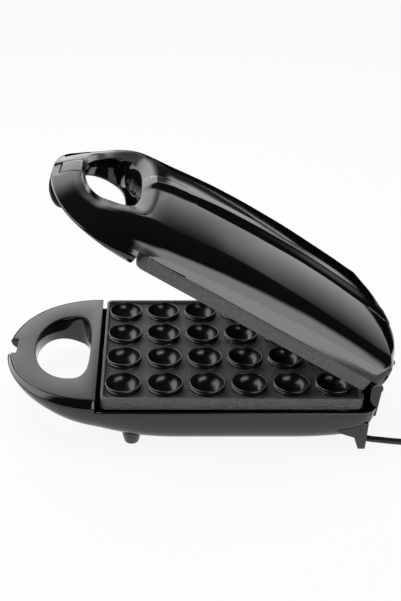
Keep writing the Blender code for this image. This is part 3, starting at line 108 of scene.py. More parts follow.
def math_node(nodes_of, links, operation, first, second):
    made = nodes_of.new("ShaderNodeMath")
    made.operation = operation
    for socket, value in zip(made.inputs, (first, second)):
        if isinstance(value, (int, float)):
            socket.default_value = value
        else:
            links.new(value, socket)
    return made.outputs[0]


# %% Helpers for panels of light
def ray_kinds(nodes_of, links):
    """Whether a ray comes straight from the camera, and whether it is a reflection."""
    path = nodes_of.new("ShaderNodeLightPath")
    camera, clear = path.outputs["Is Camera Ray"], path.outputs["Is Transmission Ray"]
    return math_node(nodes_of, links, "MAXIMUM", camera, clear), path.outputs["Is Glossy Ray"]


def ramp(nodes_of, links, value, dark, lit):
    """A soft step of a value: 0 at one end and 1 at the other, in either order."""
    made = nodes_of.new("ShaderNodeMapRange")
    made.interpolation_type = "SMOOTHSTEP"
    ends = (min(dark, lit), max(dark, lit), float(dark > lit), float(dark < lit))
    for name, number in zip(("From Min", "From Max", "To Min", "To Max"), ends):
        made.inputs[name].default_value = number
    links.new(value, made.inputs["Value"])
    return made.outputs[0]


def panels(nodes_of, links, vector, table):
    """Sum of soft-edged panels. Each is (strength, (axis, dark end, lit end), ...)."""
    parts = nodes_of.new("ShaderNodeSeparateXYZ")
    links.new(vector, parts.inputs[0])
    total = 0.0
    for strength, *sides in table:
        share = strength
        for axis, dark, lit in sides:
            step = ramp(nodes_of, links, parts.outputs[axis], dark, lit)
            share = math_node(nodes_of, links, "MULTIPLY", step, share)
        total = math_node(nodes_of, links, "ADD", share, total)
    return total


# %% World: white to the camera, panels in a dark room to the gloss
ROOM_LIGHT = 0.45
ROOM_DARK = 0.016
ROOM_PANELS = (
    (4.4, ("Y", -0.10, -0.30), ("X", 0.06, 0.24), ("X", 0.92, 0.70), ("Z", 0.58, 0.38)),
    (1.6, ("Y", 0.68, 0.98), ("X", 0.20, 0.27), ("Z", 0.03, 0.12), ("Z", 0.62, 0.45)),
    (1.3, ("Y", 0.68, 0.98), ("X", 0.42, 0.50), ("Z", 0.12, 0.03)),
    (0.45, ("Y", 0.64, 0.76), ("X", 0.42, 0.52), ("X", 0.80, 0.70), ("Z", 0.46, 0.32)),
    (1.7, ("Y", 0.35, 0.60), ("X", -0.70, -0.45), ("X", 0.18, -0.06), ("Z", -0.15, 0.0), ("Z", 0.82, 0.56)),
    (0.4, ("Y", 0.35, 0.60), ("X", -0.10, 0.10), ("X", 0.36, 0.20), ("Z", 0.24, 0.40), ("Z", 0.82, 0.56)),
    (3.6, ("Y", -0.60, -0.30), ("X", -0.42, -0.58), ("Z", 0.96, 0.82)),
)


def light_world():
    world = bpy.data.worlds.new("studio")
    bpy.context.scene.world = world
    world.use_nodes = True
    ns, ls = world.node_tree.nodes, world.node_tree.links
    ns.clear()
    direction = ns.new("ShaderNodeTexCoord")
    lit = panels(ns, ls, direction.outputs["Generated"], ROOM_PANELS)
    straight, gloss = ray_kinds(ns, ls)
    work = partial(math_node, ns, ls)
    dim = work("MULTIPLY", work("ADD", lit, ROOM_DARK), gloss)
    diffuse = work("MULTIPLY", work("SUBTRACT", 1.0, gloss), ROOM_LIGHT)
    strength = work("MAXIMUM", work("ADD", dim, diffuse), straight)
    background = ns.new("ShaderNodeBackground")
    background.inputs["Color"].default_value = (1.0, 1.0, 1.0, 1.0)
    ls.new(strength, background.inputs["Strength"])
    output = ns.new("ShaderNodeOutputWorld")
    ls.new(background.outputs[0], output.inputs["Surface"])


light_world()

# %% Floor
FLOOR_HALF = 6.0
FLOOR_COLOUR = (0.85, 0.85, 0.86, 1.0)
FLOOR_OWN_LIGHT = 0.9
FLOOR_PANELS = (
    (1.15, ("Y", -0.40, -0.28), ("Y", 0.30, 0.15)),
    (5.3, ("Y", -0.29, -0.40), ("X", 0.0, 0.12)),
    (0.9, ("Y", 0.15, 0.30), ("X", 0.9, 1.6)),
)


def add_floor():
    mesh = bpy.data.meshes.new("floor")
    corners = [(x * FLOOR_HALF, y * FLOOR_HALF, 0.0) for x, y in ((-1, -1), (1, -1), (1, 1), (-1, 1))]
    mesh.from_pydata(corners, [], [(0, 1, 2, 3)])
    floor = linked("floor", mesh)
    white, ns, ls = new_material("floor_white")
    ns.clear()
    diffuse = ns.new("ShaderNodeBsdfDiffuse")
    diffuse.inputs["Color"].default_value = FLOOR_COLOUR
    straight, gloss = ray_kinds(ns, ls)
    place = ns.new("ShaderNodeTexCoord")
    seen = panels(ns, ls, place.outputs["Object"], FLOOR_PANELS)
    work = partial(math_node, ns, ls)
    glow = ns.new("ShaderNodeEmission")
    ls.new(work("ADD", work("MULTIPLY", seen, gloss), straight), glow.inputs["Strength"])
    blend = ns.new("ShaderNodeMixShader")
    ls.new(work("ADD", work("MULTIPLY", straight, FLOOR_OWN_LIGHT), gloss), blend.inputs[0])
    ls.new(diffuse.outputs[0], blend.inputs[1])
    ls.new(glow.outputs[0], blend.inputs[2])
    output = ns.new("ShaderNodeOutputMaterial")
    ls.new(blend.outputs[0], output.inputs["Surface"])
    mesh.materials.append(white)


add_floor()

# %% Softboxes
LIGHT_TARGET = Vector((0.0, 0.0, 0.1))


def add_softbox(name, place, size, power):
    """A lamp that neither the camera nor the gloss sees."""
    data = bpy.data.lights.new(name, "AREA")
    data.shape = "RECTANGLE"
    data.size, data.size_y = size
    data.energy = power
    lamp = linked(name, data)
    lamp.location = place
    lamp.rotation_euler = (LIGHT_TARGET - Vector(place)).to_track_quat("-Z", "Y").to_euler()
    lamp.visible_camera = lamp.visible_glossy = False


add_softbox("softbox_above", (-0.2, 0.3, 1.5), (1.2, 1.0), 14.0)
add_softbox("softbox_left", (-1.4, -0.1, 0.7), (0.8, 0.8), 6.0)

scene = bpy.context.scene
scene.view_settings.view_transform = "Standard"

# %% [markdown]
# Every plastic has some grain: the eye reads it as a soft break in the highlights. One shader
# group makes it for all of them, so that its scale and strength are set in one place for each.

# %% A group for grain
def grain_group():
    group = bpy.data.node_groups.new("grain", "ShaderNodeTree")
    made = group.interface
    for name, value in (("Scale", 900.0), ("Least", 0.1), ("Most", 0.2), ("Broad", 18.0)):
        made.new_socket(name, in_out="INPUT", socket_type="NodeSocketFloat").default_value = value
    made.new_socket("Roughness", in_out="OUTPUT", socket_type="NodeSocketFloat")
    made.new_socket("Height", in_out="OUTPUT", socket_type="NodeSocketFloat")
    ns, ls = group.nodes, group.links
    given = ns.new("NodeGroupInput")
    out = ns.new("NodeGroupOutput")
    place = ns.new("ShaderNodeTexCoord")
    noises = []
    for scale, detail in (("Scale", 3.0), ("Broad", 4.0)):
        noise = ns.new("ShaderNodeTexNoise")
        noise.inputs["Detail"].default_value = detail
        ls.new(place.outputs["Object"], noise.inputs["Vector"])
        ls.new(given.outputs[scale], noise.inputs["Scale"])
        noises.append(noise.outputs["Fac"])
    fine, broad = noises
    spread = ns.new("ShaderNodeMapRange")
    spread.inputs["From Min"].default_value = 0.3
    spread.inputs["From Max"].default_value = 0.7
    ls.new(broad, spread.inputs["Value"])
    ls.new(given.outputs["Least"], spread.inputs["To Min"])
    ls.new(given.outputs["Most"], spread.inputs["To Max"])
    ls.new(spread.outputs[0], out.inputs["Roughness"])
    ls.new(fine, out.inputs["Height"])
    return group


GRAIN = grain_group()


def grained(name, colour, least, most, scale=900.0, depth=0.00001, broad=18.0, metallic=0.0, ior=1.5):
    """A material with grain: roughness wanders between two values, and a fine noise raises it."""
    made, ns, ls = new_material(name)
    shader = ns["Principled BSDF"]
    shader.inputs["Base Color"].default_value = (*colour, 1.0)
    shader.inputs["Metallic"].default_value = metallic
    shader.inputs["IOR"].default_value = ior
    grain = ns.new("ShaderNodeGroup")
    grain.node_tree = GRAIN
    for socket, value in (("Scale", scale), ("Least", least), ("Most", most), ("Broad", broad)):
        grain.inputs[socket].default_value = value
    bump = ns.new("ShaderNodeBump")
    bump.inputs["Distance"].default_value = depth
    bump.inputs["Strength"].default_value = 1.0
    ls.new(grain.outputs["Height"], bump.inputs["Height"])
    ls.new(grain.outputs["Roughness"], shader.inputs["Roughness"])
    ls.new(bump.outputs[0], shader.inputs["Normal"])
    return made


# %% Materials
gloss_black = grained("gloss_black", (0.004, 0.004, 0.0045), 0.05, 0.09, depth=0.000001)
satin_black = grained("satin_black", (0.010, 0.010, 0.011), 0.32, 0.42, depth=0.00002)
cover_grey = grained("cover_grey", (0.068, 0.066, 0.071), 0.28, 0.36, depth=0.00002)
# The plates' coating is one finish in two copies. The cups keep its own near-black tone. The copy for the
# tray, skirts and domes is about ten times lighter: painted sheen that stands in for the lit room an
# upward-facing floor reflects.
coating_and_painted_sheen = grained("coating_and_painted_sheen", (0.088, 0.083, 0.090), 0.30, 0.40, scale=620.0, depth=0.0018)
cup_coating = grained("cup_coating", (0.008, 0.008, 0.009), 0.20, 0.28, scale=1500.0, depth=0.00001)
sheet_metal = grained("sheet_metal", (0.72, 0.72, 0.73), 0.3, 0.4, metallic=1.0)
steel = grained("steel", (0.55, 0.55, 0.56), 0.22, 0.32, metallic=1.0)
cord_black = grained("cord_black", (0.012, 0.012, 0.012), 0.35, 0.45, depth=0.00002)
lens_red = grained("lens_red", (0.35, 0.01, 0.01), 0.12, 0.18)
lens_green = grained("lens_green", (0.02, 0.25, 0.04), 0.12, 0.18)
screw_black = grained("screw_black", (0.02, 0.02, 0.022), 0.3, 0.4)
cream = grained("cream", (0.6, 0.55, 0.44), 0.4, 0.5)

FINISH_OF_SLOT = {
    "gloss_black": gloss_black, "satin_black": satin_black, "cover_grey": cover_grey,
    "coating_black": coating_and_painted_sheen, "sheet_aluminium": sheet_metal, "steel": steel,
    "cord_black": cord_black, "lens_red": lens_red, "lens_green": lens_green,
    "cream_plastic": cream,
}
for subpart in frame["record"]["subparts"]:
    piece = nodes[subpart["node"]]
    if not piece.material_slots:
        piece.data.materials.append(None)
    piece.material_slots[0].link = "OBJECT"
    piece.material_slots[0].material = FINISH_OF_SLOT[subpart["material_slot"]]

# %% [markdown]
# The housings, plates and cups are made as fresh meshes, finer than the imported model's solids.
# A few small helpers come first: one bakes modifiers into a plain mesh, one names a finished
# piece, lets it ride on its body and says which solids of the model it stands for.

# %% Helpers for finished pieces
SCRATCH = []


def scratch(name, mesh):
    """An object that is only a tool for making others, and is removed afterwards."""
    SCRATCH.append(linked(name, mesh))
    return SCRATCH[-1]


def baked(piece):
    """The mesh that an object's modifiers make. The object and its tools are removed."""
    graph = bpy.context.evaluated_depsgraph_get()
    mesh = bpy.data.meshes.new_from_object(piece.evaluated_get(graph), depsgraph=graph)
    while SCRATCH:
        bpy.data.objects.remove(SCRATCH.pop(), do_unlink=True)
    return mesh


def add_piece(name, mesh, body, finish, *stands_for, sharp=30.0):
    """A finished piece that rides on a body and stands for solids of the model.

    What rides on the lid or the latch is made with the lid shut, and turned here.
    """
    if body != "base":
        mesh.transform(LID_TURN)
    mesh.materials.clear()
    mesh.materials.append(finish)
    mesh.shade_smooth()
    mesh.set_sharp_from_angle(angle=math.radians(sharp))
    piece = linked(name, mesh)
    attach(piece, body)
    if stands_for:
        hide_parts(*stands_for)
    print(name, len(mesh.polygons), "faces")
    return piece


def cut(target, cutter, operation="DIFFERENCE"):
    step = target.modifiers.new(cutter.name, "BOOLEAN")
    step.object = cutter
    step.operation = operation
    step.solver = "EXACT"


def soften(target, width, steps=2, above_degrees=50.0):
    """A small rounding on the sharp edges, as every moulded piece has."""
    target.modifiers.new("flat_faces_split", "TRIANGULATE")
    step = target.modifiers.new("rounded", "BEVEL")
    step.width = width
    step.segments = steps
    step.limit_method = "ANGLE"
    step.angle_limit = math.radians(above_degrees)
    step.use_clamp_overlap = False
    step.harden_normals = False


def mesh_of(name, build, merge=0.000001):
    """A mesh that build fills, merged and turned outwards."""
    shape = bmesh.new()
    build(shape)
    bmesh.ops.remove_doubles(shape, verts=shape.verts, dist=merge)
    bmesh.ops.recalc_face_normals(shape, faces=shape.faces)
    mesh = bpy.data.meshes.new(name)
    shape.to_mesh(mesh)
    shape.free()
    return mesh


def skin(shape, rings, ends=True, closed=True):
    """Faces between rings of points. Closed rings join round, ends are capped."""
    made = [[shape.verts.new(point) for point in ring] for ring in rings]
    count = len(made[0])
    for lower, upper in zip(made, made[1:]):
        for i in range(count if closed else count - 1):
            j = (i + 1) % count
            shape.faces.new((lower[i], lower[j], upper[j], upper[i]))
    if ends:
        shape.faces.new(made[0])
        shape.faces.new(made[-1])
    return made


def prism(name, outline, low, high):
    rings = [[(x, y, z) for x, y in outline] for z in (low, high)]
    return scratch(name, mesh_of(name, lambda shape: skin(shape, rings)))


def side_prism(name, outline, low_y, high_y):
    rings = [[(x, y, z) for x, z in outline] for y in (low_y, high_y)]
    return scratch(name, mesh_of(name, lambda shape: skin(shape, rings)))


def box_outline(low_x, high_x, low_y, high_y):
    return [(low_x, low_y), (high_x, low_y), (high_x, high_y), (low_x, high_y)]


def turned(shape, profile, place=(0.0, 0.0), sides=64):
    """A profile of (radius, height) turned about an upright axis, closed at both ends."""
    x, y = place
    turns = [2.0 * math.pi * k / sides for k in range(sides)]
    rings = [[(x + r * math.cos(a), y + r * math.sin(a), z) for a in turns] for r, z in profile]
    return skin(shape, rings)


def arc(centre, radius, start, turn, steps):
    """Points on an arc. Start and turn are in half turns."""
    angles = [math.pi * (start + turn * k / steps) for k in range(steps + 1)]
    return [(centre[0] + radius * math.cos(a), centre[1] + radius * math.sin(a)) for a in angles]


def rounded_box(centre, size, inset, radius, steps=8):
    """A rectangle with round corners, moved inwards by an inset."""
    points = []
    for side_x, side_y, start in ((1, 1, 0.0), (-1, 1, 0.5), (-1, -1, 1.0), (1, -1, 1.5)):
        x = centre[0] + side_x * (size[0] / 2.0 - inset - radius)
        y = centre[1] + side_y * (size[1] / 2.0 - inset - radius)
        points += arc((x, y), radius, start, 0.5, steps)
    return points


def mix(start, end, share):
    return start + (end - start) * share


def smooth_through(xs, ys):
    """A smooth curve through points, as a function, that never swings past them."""
    widths = [b - a for a, b in zip(xs, xs[1:])]
    slopes = [(b - a) / w for a, b, w in zip(ys, ys[1:], widths)]
    leans = [slopes[0]]
    for before, after in zip(slopes, slopes[1:]):
        same = before * after > 0.0
        leans.append(2.0 * before * after / (before + after) if same else 0.0)
    leans.append(slopes[-1])

    def value(x):
        k = min(max(bisect.bisect_right(xs, x) - 1, 0), len(widths) - 1)
        w = widths[k]
        t = min(max((x - xs[k]) / w, 0.0), 1.0)
        return (
            ys[k] * (1 + 2 * t) * (1 - t) ** 2 + ys[k + 1] * t * t * (3 - 2 * t)
            + w * leans[k] * t * (1 - t) ** 2 - w * leans[k + 1] * t * t * (1 - t)
        )

    return value


# %% [markdown]
# Both halves meet on a level plane. The lid is made shut, as on the bench, and its mesh is then
# turned about the hinge by the angle at which it stands open. Tools that cut reach well past
# what they cut: up to HIGH where nothing is in the way, and by PAST elsewhere.

# %% Sizes that several pieces share
PARTING = 0.0564
ROOT_X = -0.0998
BODY_LENGTH = 0.2665
HALF_WIDTH = 0.1015
HINGE_X, HINGE_Z = 0.1629, 0.0628
LID_ANGLE = math.radians(31.3)
TO_HINGE = Matrix.Translation((HINGE_X, 0.0, HINGE_Z))
LID_TURN = TO_HINGE @ Matrix.Rotation(LID_ANGLE, 4, "Y") @ TO_HINGE.inverted()
CORNER_RADIUS = 0.0200
WALL = 0.0025
SHELL_EDGE, SMALL_EDGE = 0.0005, 0.0004
HIGH, PAST = 0.20, 0.004
print("lid stands open by", round(math.degrees(LID_ANGLE), 1), "degrees")

# %% [markdown]
# The housings are boat-shaped: an outline at the rim, a smaller shoulder line above it, and a
# wall that bends from one to the other. A maker draws such a form as stations along the length.
# The same stations are used here, with smooth curves through their values, so that the gloss
# runs without a break. A subdivision surface would be quicker, but it would pull the shape in.

# %% Stations of the housings
HANDLE_TURNS = (0.0, 0.07, 0.22, 0.38, 0.53, 0.67, 0.78, 0.89, 1.0)
BODY_SHARES = (0.0, 0.075, 0.17, 0.28, 0.41, 0.56, 0.71, 0.845, 0.925)
CORNER_TURNS = (0.0, 0.35, 0.68, 1.0)
REAR_SHARES = (0.0, 0.22, 0.54, 0.88, 1.0)
PLACES = list(range(-1, 23))
STEPS = {"handle": 34, "body": 60, "corner": 8, "rear": 14}
ROOT_PLACE, BODY_END_PLACE, CORNER_PLACE = 7, 15.2, 15.4


def quarter(turn, power):
    angle = turn * math.pi / 2.0
    return math.cos(angle) ** (2.0 / power), math.sin(angle) ** (2.0 / power)


def stations(reach, power, side_rear, bulge, wall):
    """Dense stations (place, turn, x, y) round one side, from the tip to the rear's middle."""
    at_handle = smooth_through(HANDLE_TURNS, list(range(-1, 8)))
    at_body = smooth_through(BODY_SHARES, list(range(7, 16)))
    at_corner = smooth_through(CORNER_TURNS, [CORNER_PLACE, 16.0, 17.0, 18.0])
    at_rear = smooth_through(REAR_SHARES, [18.0, 19.0, 20.0, 21.0, 22.0])
    half = HALF_WIDTH - wall
    found = []
    for k in range(STEPS["handle"]):
        turn = k / STEPS["handle"]
        along, across = quarter(turn, power)
        found.append((at_handle(turn), turn, ROOT_X - (reach - wall) * along, half * across))
    last = (side_rear - CORNER_RADIUS - ROOT_X) / BODY_LENGTH
    for k in range(STEPS["body"]):
        share = last * k / STEPS["body"]
        place = min(at_body(share), CORNER_PLACE) if share < BODY_SHARES[-1] else BODY_END_PLACE
        found.append((place, 1.0, ROOT_X + share * BODY_LENGTH, half))
    radius = CORNER_RADIUS - wall
    corner_y = HALF_WIDTH - CORNER_RADIUS
    for k in range(STEPS["corner"]):
        turn = k / STEPS["corner"]
        angle = turn * math.pi / 2.0
        x = side_rear - CORNER_RADIUS + radius * math.sin(angle)
        found.append((at_corner(turn), 1.0, x, corner_y + radius * math.cos(angle)))
    for k in range(STEPS["rear"] + 1):
        share = k / STEPS["rear"]
        x = side_rear + bulge * (1.0 - (1.0 - share) ** 2) - wall
        found.append((at_rear(share), 1.0, x, corner_y * (1.0 - share)))
    return found


# %% [markdown]
# The wall's own curve is a short list of heights and of how far it has moved from the outline
# to the shoulder. The handle's tip has a list of its own, because it is thinner and rounder.

# %% Wall of a housing
TIP_SHARES = (1.0, 1.0, 1.0, 1.0, 1.0, 0.9, 0.7, 0.45, 0.2, *[0.0] * 15)
WALL_LEVELS = 26


def wall_curve(heights, blends, depth, inset):
    """Height and blend as smooth functions of one share along the wall."""
    knots = [0.0]
    for a, b, c, d in zip(heights, heights[1:], blends, blends[1:]):
        knots.append(knots[-1] + math.hypot((b - a) * depth, (d - c) * inset))
    knots = [knot / knots[-1] for knot in knots]
    return smooth_through(knots, heights), smooth_through(knots, blends)


def shoulder_lines(root_share, body_widths, rear_points, wall):
    """X and half width of the shoulder line from the handle's root back."""
    xs = [ROOT_X]
    ys = [HALF_WIDTH * root_share - wall]
    for share, width in zip(BODY_SHARES[1:], body_widths):
        xs.append(ROOT_X + share * BODY_LENGTH)
        ys.append(HALF_WIDTH * width - wall)
    for x_share, y_share in rear_points:
        xs.append(ROOT_X + BODY_LENGTH * x_share - wall)
        ys.append(HALF_WIDTH * y_share - wall * min(1.0, y_share / root_share))
    xs.append(xs[-1] + 0.0004)
    ys.append(0.0)
    places = list(range(ROOT_PLACE, 23))
    return smooth_through(places, xs), smooth_through(places, ys)


def plan_of(outline, rear, bulge, body_widths, rear_points, wall):
    """The rim's stations, and the shoulder point of each."""
    reach, power, front, root_share = outline
    found = stations(reach, power, rear, bulge, wall)
    line_x, line_y = shoulder_lines(root_share, body_widths, rear_points, wall)
    shoulder = []
    for place, turn, _, _ in found:
        if place < ROOT_PLACE:
            along, across = quarter(turn, power)
            point = (ROOT_X - (front - wall) * along, (HALF_WIDTH * root_share - wall) * across)
        else:
            point = (line_x(place), line_y(place))
        shoulder.append(point)
    return found, shoulder


def housing(name, found, shoulder, heights, curves, rim_z, rows, row_point):
    """A closed solid: a flat face on the rim's plane, walls up to the shoulder, and a roof."""
    tip = smooth_through(PLACES, TIP_SHARES)
    (body_height, body_blend), (tip_height, tip_blend) = curves
    rings = []
    for level in range(WALL_LEVELS + 1):
        share = level / WALL_LEVELS
        near = []
        for (place, turn, x, y), (sx, sy) in zip(found, shoulder):
            slope = tip(place)
            blend = mix(body_blend(share), tip_blend(share), slope)
            z = PARTING + mix(body_height(share), tip_height(share), slope) * heights(place)
            if level == 0:
                z = rim_z
            near.append((mix(x, sx, blend), -mix(y, sy, blend), z))
        far = [(x, -y, z) for x, y, z in reversed(near[1:-1])]
        rings.append(near + far)

    def build(shape):
        made = skin(shape, rings, ends=False)
        shape.faces.new(made[0])
        top = made[-1]
        total = len(top)
        lines = []
        for i in range(1, len(found) - 1):
            inner = [shape.verts.new(row_point(found[i][0], shoulder[i], v)) for v in rows]
            lines.append([top[i], *inner, top[total - i]])
        for line, following in zip(lines, lines[1:]):
            for k in range(len(line) - 1):
                shape.faces.new((line[k], following[k], following[k + 1], line[k + 1]))
        last = len(found) - 1
        for line, end in ((lines[0], top[0]), (lines[-1], top[last])):
            for k in range(len(line) - 1):
                shape.faces.new((line[k], line[k + 1], end))

    return mesh_of(name, build)


# %% [markdown]
# The lid: a domed roof with a raised spine from the hand hole to the rear. The spine's flanks
# are steep, with small fillets, and its top is flat. Rows of points lie close where it bends.

# %% Lid's own tables
LID_HEIGHT = 0.0550
LID_REACH, LID_POWER = 0.0855, 2.3
LID_REAR, LID_BULGE = 0.0149, 0.0160
LID_OUTLINE = (LID_REACH, LID_POWER, 0.0650, 0.764)
LID_INSET = 0.012
LID_CREST = (
    0.37, 0.37, 0.36, 0.35, 0.38, 0.475, 0.56, 0.63, 0.665,
    0.683, 0.728, 0.772, 0.79, 0.782, 0.75, 0.712, 0.688,
    0.687, 0.69, 0.695, 0.70, 0.70, 0.69, 0.69,
)
LID_DOME = (
    0.0, 0.01, 0.0, -0.02, -0.03, -0.08, -0.15, -0.15, 0.09,
    0.148, 0.147, 0.138, 0.143, 0.16, 0.169, 0.16, 0.136,
    0.113, 0.097, 0.077, 0.054, 0.025, 0.004, 0.0,
)
SPINE_WIDTH, SPINE_HEIGHT, SPINE_LIMIT = 0.0190, 0.0046, 0.6
SPINE_START = (6.55, 6.90)
SPINE_RISE = (
    0, 0, 0, 0, 0, 0, 0, 0.75, 0.75,
    0.8, 0.92, 1.06, 1.06, 1.02, 1.0, 1.03, 0.9,
    0.8, 0.72, 0.65, 0.5, 0.25, 0, 0,
)
SPINE_WIDTHS = (
    0.5, 0.5, 1.5, 1.6, 1.6, 1.6, 1.6, 1.6, 1.55,
    1.39, 1.1, 1.02, 1.0, 1.0, 1.02, 1.1, 1.17,
    1.22, 1.22, 1.22, 1.17, 1.1, 0.6, 0.6,
)
LID_BODY_WIDTHS = (0.79, 0.80, 0.805, 0.82, 0.845, 0.865, 0.88, 0.877)
LID_REAR_POINTS = (
    (0.949, 0.867), (0.962, 0.79), (0.977, 0.69),
    (0.998, 0.55), (1.02, 0.335), (1.035, 0.10),
)
LID_WALL = ((0.0, 0.30, 0.55, 0.75, 0.90, 1.0), (0.28, 0.0, 0.06, 0.22, 0.52, 1.0))
LID_TIP_WALL = ((0.0, 0.15, 0.40, 0.65, 0.86, 1.0), (0.28, 0.0, 0.22, 0.47, 0.72, 1.0))
FLANK, FLANK_FILLET = 0.54, 0.25
SPINE_ROWS = (1.0, 0.975, 0.94, 0.84, 0.72, 0.60, 0.565, 0.54, 0.36, 0.18)
WING_ROWS = 12


def lid_mesh(name, wall, rim_z):
    """The lid's outer form, or its hollow when a wall is taken off."""
    rear = ROOT_X + BODY_LENGTH + LID_REAR - LID_BULGE
    found, shoulder = plan_of(LID_OUTLINE, rear, LID_BULGE, LID_BODY_WIDTHS, LID_REAR_POINTS, wall)
    tables = (LID_CREST, LID_DOME, SPINE_RISE, SPINE_WIDTHS)
    crest, dome, rise, width = (smooth_through(PLACES, table) for table in tables)
    curves = [wall_curve(*table, 0.7 * LID_HEIGHT, LID_INSET) for table in (LID_WALL, LID_TIP_WALL)]
    wing = [("wing", k / WING_ROWS) for k in range(1, WING_ROWS)]
    spine = [("spine", share) for share in SPINE_ROWS]
    near = [(kind, share, -1.0) for kind, share in wing + spine]
    rows = near + [("spine", 0.0, 1.0)] + [(kind, share, 1.0) for kind, share, _ in near[::-1]]

    def heights(place):
        return LID_HEIGHT * crest(place) - wall

    def row_point(place, at, row):
        kind, share, side = row
        x, half = at
        foot = min(SPINE_WIDTH / 2.0 * width(place) - wall, SPINE_LIMIT * half)
        y = mix(half, foot, share) if kind == "wing" else foot * share
        climb = 0.0
        if kind == "spine":
            t = min((1.0 - share) / (1.0 - FLANK), 1.0)
            climb = mix(t, t * t * (3.0 - 2.0 * t), FLANK_FILLET)
        z = PARTING + heights(place) + LID_HEIGHT * dome(place) * (1.0 - (y / half) ** 2)
        start = min(max((place - SPINE_START[0]) / (SPINE_START[1] - SPINE_START[0]), 0.0), 1.0)
        return x, side * y, z + SPINE_HEIGHT * rise(place) * climb * start * start * (3.0 - 2.0 * start)

    return housing(name, found, shoulder, heights, curves, rim_z, rows, row_point)


# %% [markdown]
# The shell is the outer form with the hollow cut out, so it has a real wall. The hand hole, the
# pocket for the handle's cover, the slot for the latch and the two hinge lugs follow, each cut
# or joined as a tool would do it.

# %% Hand holes and covers in plan
HOLE_X = ROOT_X - 0.0270
HOLE_REAR = 0.0185
LID_HOLE = (0.0330, 0.0535)
BASE_HOLE = (0.0365, 0.0600)
HOLE_WALL = 0.0020
LID_COVER = (0.0085, 0.0090)
BASE_COVER = (0.0034, 0.0050)
COVER_THICK, COVER_OVER = 0.0020, 0.0010
FIT = 0.0003
LID_PLAN = (LID_REACH, LID_POWER, LID_COVER)


def hole_outline(reaches, offset, steps=36):
    """A hand hole: an ellipse in front, a squarer curve behind."""
    front, half = (reach + offset for reach in reaches)
    points = []
    for k in range(4 * steps):
        angle = 2.0 * math.pi * k / (4 * steps)
        c, s = math.cos(angle), math.sin(angle)
        if c <= 0.0:
            points.append((HOLE_X + front * c, half * s))
        else:
            x = (HOLE_REAR + offset) * abs(c) ** (2.0 / 3.0)
            points.append((HOLE_X + x, half * math.copysign(abs(s) ** (2.0 / 3.0), s)))
    return points


def cover_outline(reach, power, rims, margin, steps=72):
    """A D-shaped handle cover, grown by a margin."""
    edge = ROOT_X + COVER_OVER
    front = reach - rims[0] + COVER_OVER + 2.0 * margin
    half = HALF_WIDTH - rims[1] + margin
    points = []
    for k in range(-steps, steps + 1):
        along, across = quarter(abs(k) / steps, power)
        points.append((edge + margin - front * along, math.copysign(half * across, -k)))
    return points


# %% Latch and hinge sizes
LATCH_WIDTH = 0.0274
LATCH_HALF = LATCH_WIDTH / 2.0 + 0.0004
LATCH_X = ROOT_X - LID_REACH + 0.0088
LATCH_Z = PARTING + 0.0042
KNUCKLE, BROW = 0.0032, 0.0046
SLOT_REAR = LATCH_X + KNUCKLE + 0.0005
BRIDGE_FRONT = LATCH_X - 0.0038
BRIDGE_REAR = HOLE_X - LID_HOLE[0] + PAST
BRIDGE_LOW = PARTING + 0.0070
LID_LOW = PARTING + 0.0005
LID_RIM = 0.0150
EYE = 0.0055
POST_INNER, POST_OUTER = 0.0780, 0.0900
LUG_WIDTH = 0.0115
LUG_INNER = POST_INNER - 0.0005 - LUG_WIDTH
LUG_ROOT = PARTING + 0.0330


def lug_outline():
    """A hinge lug seen from the side: a round end below, a root inside the lid."""
    end = arc((HINGE_X, HINGE_Z), EYE, 1.0, 1.0, 32)
    rear = [(HINGE_X + EYE, PARTING + LID_RIM), (HINGE_X + 0.0030, LUG_ROOT)]
    return [(HINGE_X - EYE, LUG_ROOT), *end, *rear]


# %% Lid shell
def hollowed(name, form, rims, hole, reach, half, low, high):
    """A form with its hollow cut out.

    Walls stay round the hand hole, across the handle's root and on both sides of the latch.
    """
    shell = scratch(f"{name}_outer", form(f"{name}_outer", 0.0, rims[0]))
    hollow = scratch(f"{name}_hollow", form(f"{name}_hollow", WALL, rims[1]))
    front = HOLE_X - hole[0]
    for word, outline in (
        ("hole_wall", hole_outline(hole, HOLE_WALL)),
        ("bulkhead", box_outline(ROOT_X - WALL, ROOT_X, -HIGH, HIGH)),
        ("cheeks", box_outline(front - reach, front, -half, half)),
    ):
        cut(hollow, prism(word, outline, low, high))
    cut(shell, hollow)
    return shell


def join_pair(shell, name, outline, inner, outer):
    """Join a hinge part to both sides of a shell."""
    for side in (-1, 1):
        cut(shell, side_prism(name, outline, *sorted((side * inner, side * outer))), "UNION")


def lid_shell_mesh():
    low = PARTING - 2.0 * PAST
    rims = (LID_LOW, PARTING - PAST)
    shell = hollowed("lid", lid_mesh, rims, LID_HOLE, LID_REACH, LATCH_HALF + 0.0032, low, HIGH)
    cut(shell, prism("pocket", cover_outline(*LID_PLAN, FIT), low, LID_LOW + COVER_THICK + FIT))
    under = box_outline(ROOT_X, ROOT_X + 2.0 * BODY_LENGTH, -HIGH, HIGH)
    cut(shell, prism("under", under, low, PARTING + LID_RIM))
    cut(shell, prism("hole", hole_outline(LID_HOLE, 0.0), low, HIGH))
    slot = box_outline(ROOT_X - LID_REACH - PAST, SLOT_REAR, -LATCH_HALF, LATCH_HALF)
    cut(shell, prism("slot", slot, low, HIGH))
    strip = box_outline(BRIDGE_FRONT - PAST, BRIDGE_REAR, BRIDGE_LOW - FIT, HIGH)
    cut(shell, side_prism("strip_room", strip, -LATCH_HALF, LATCH_HALF))
    join_pair(shell, "lug", lug_outline(), LUG_INNER, LUG_INNER + LUG_WIDTH)
    soften(shell, SHELL_EDGE)
    return baked(shell)


add_piece("lid_housing", lid_shell_mesh(), "lid", gloss_black, "lid_shell")

# %% [markdown]
# The base is the same kind of form the other way up: a flat underside, walls that lean out to
# the rim, and a long thin handle. Its tip has a notch that the latch takes hold of.

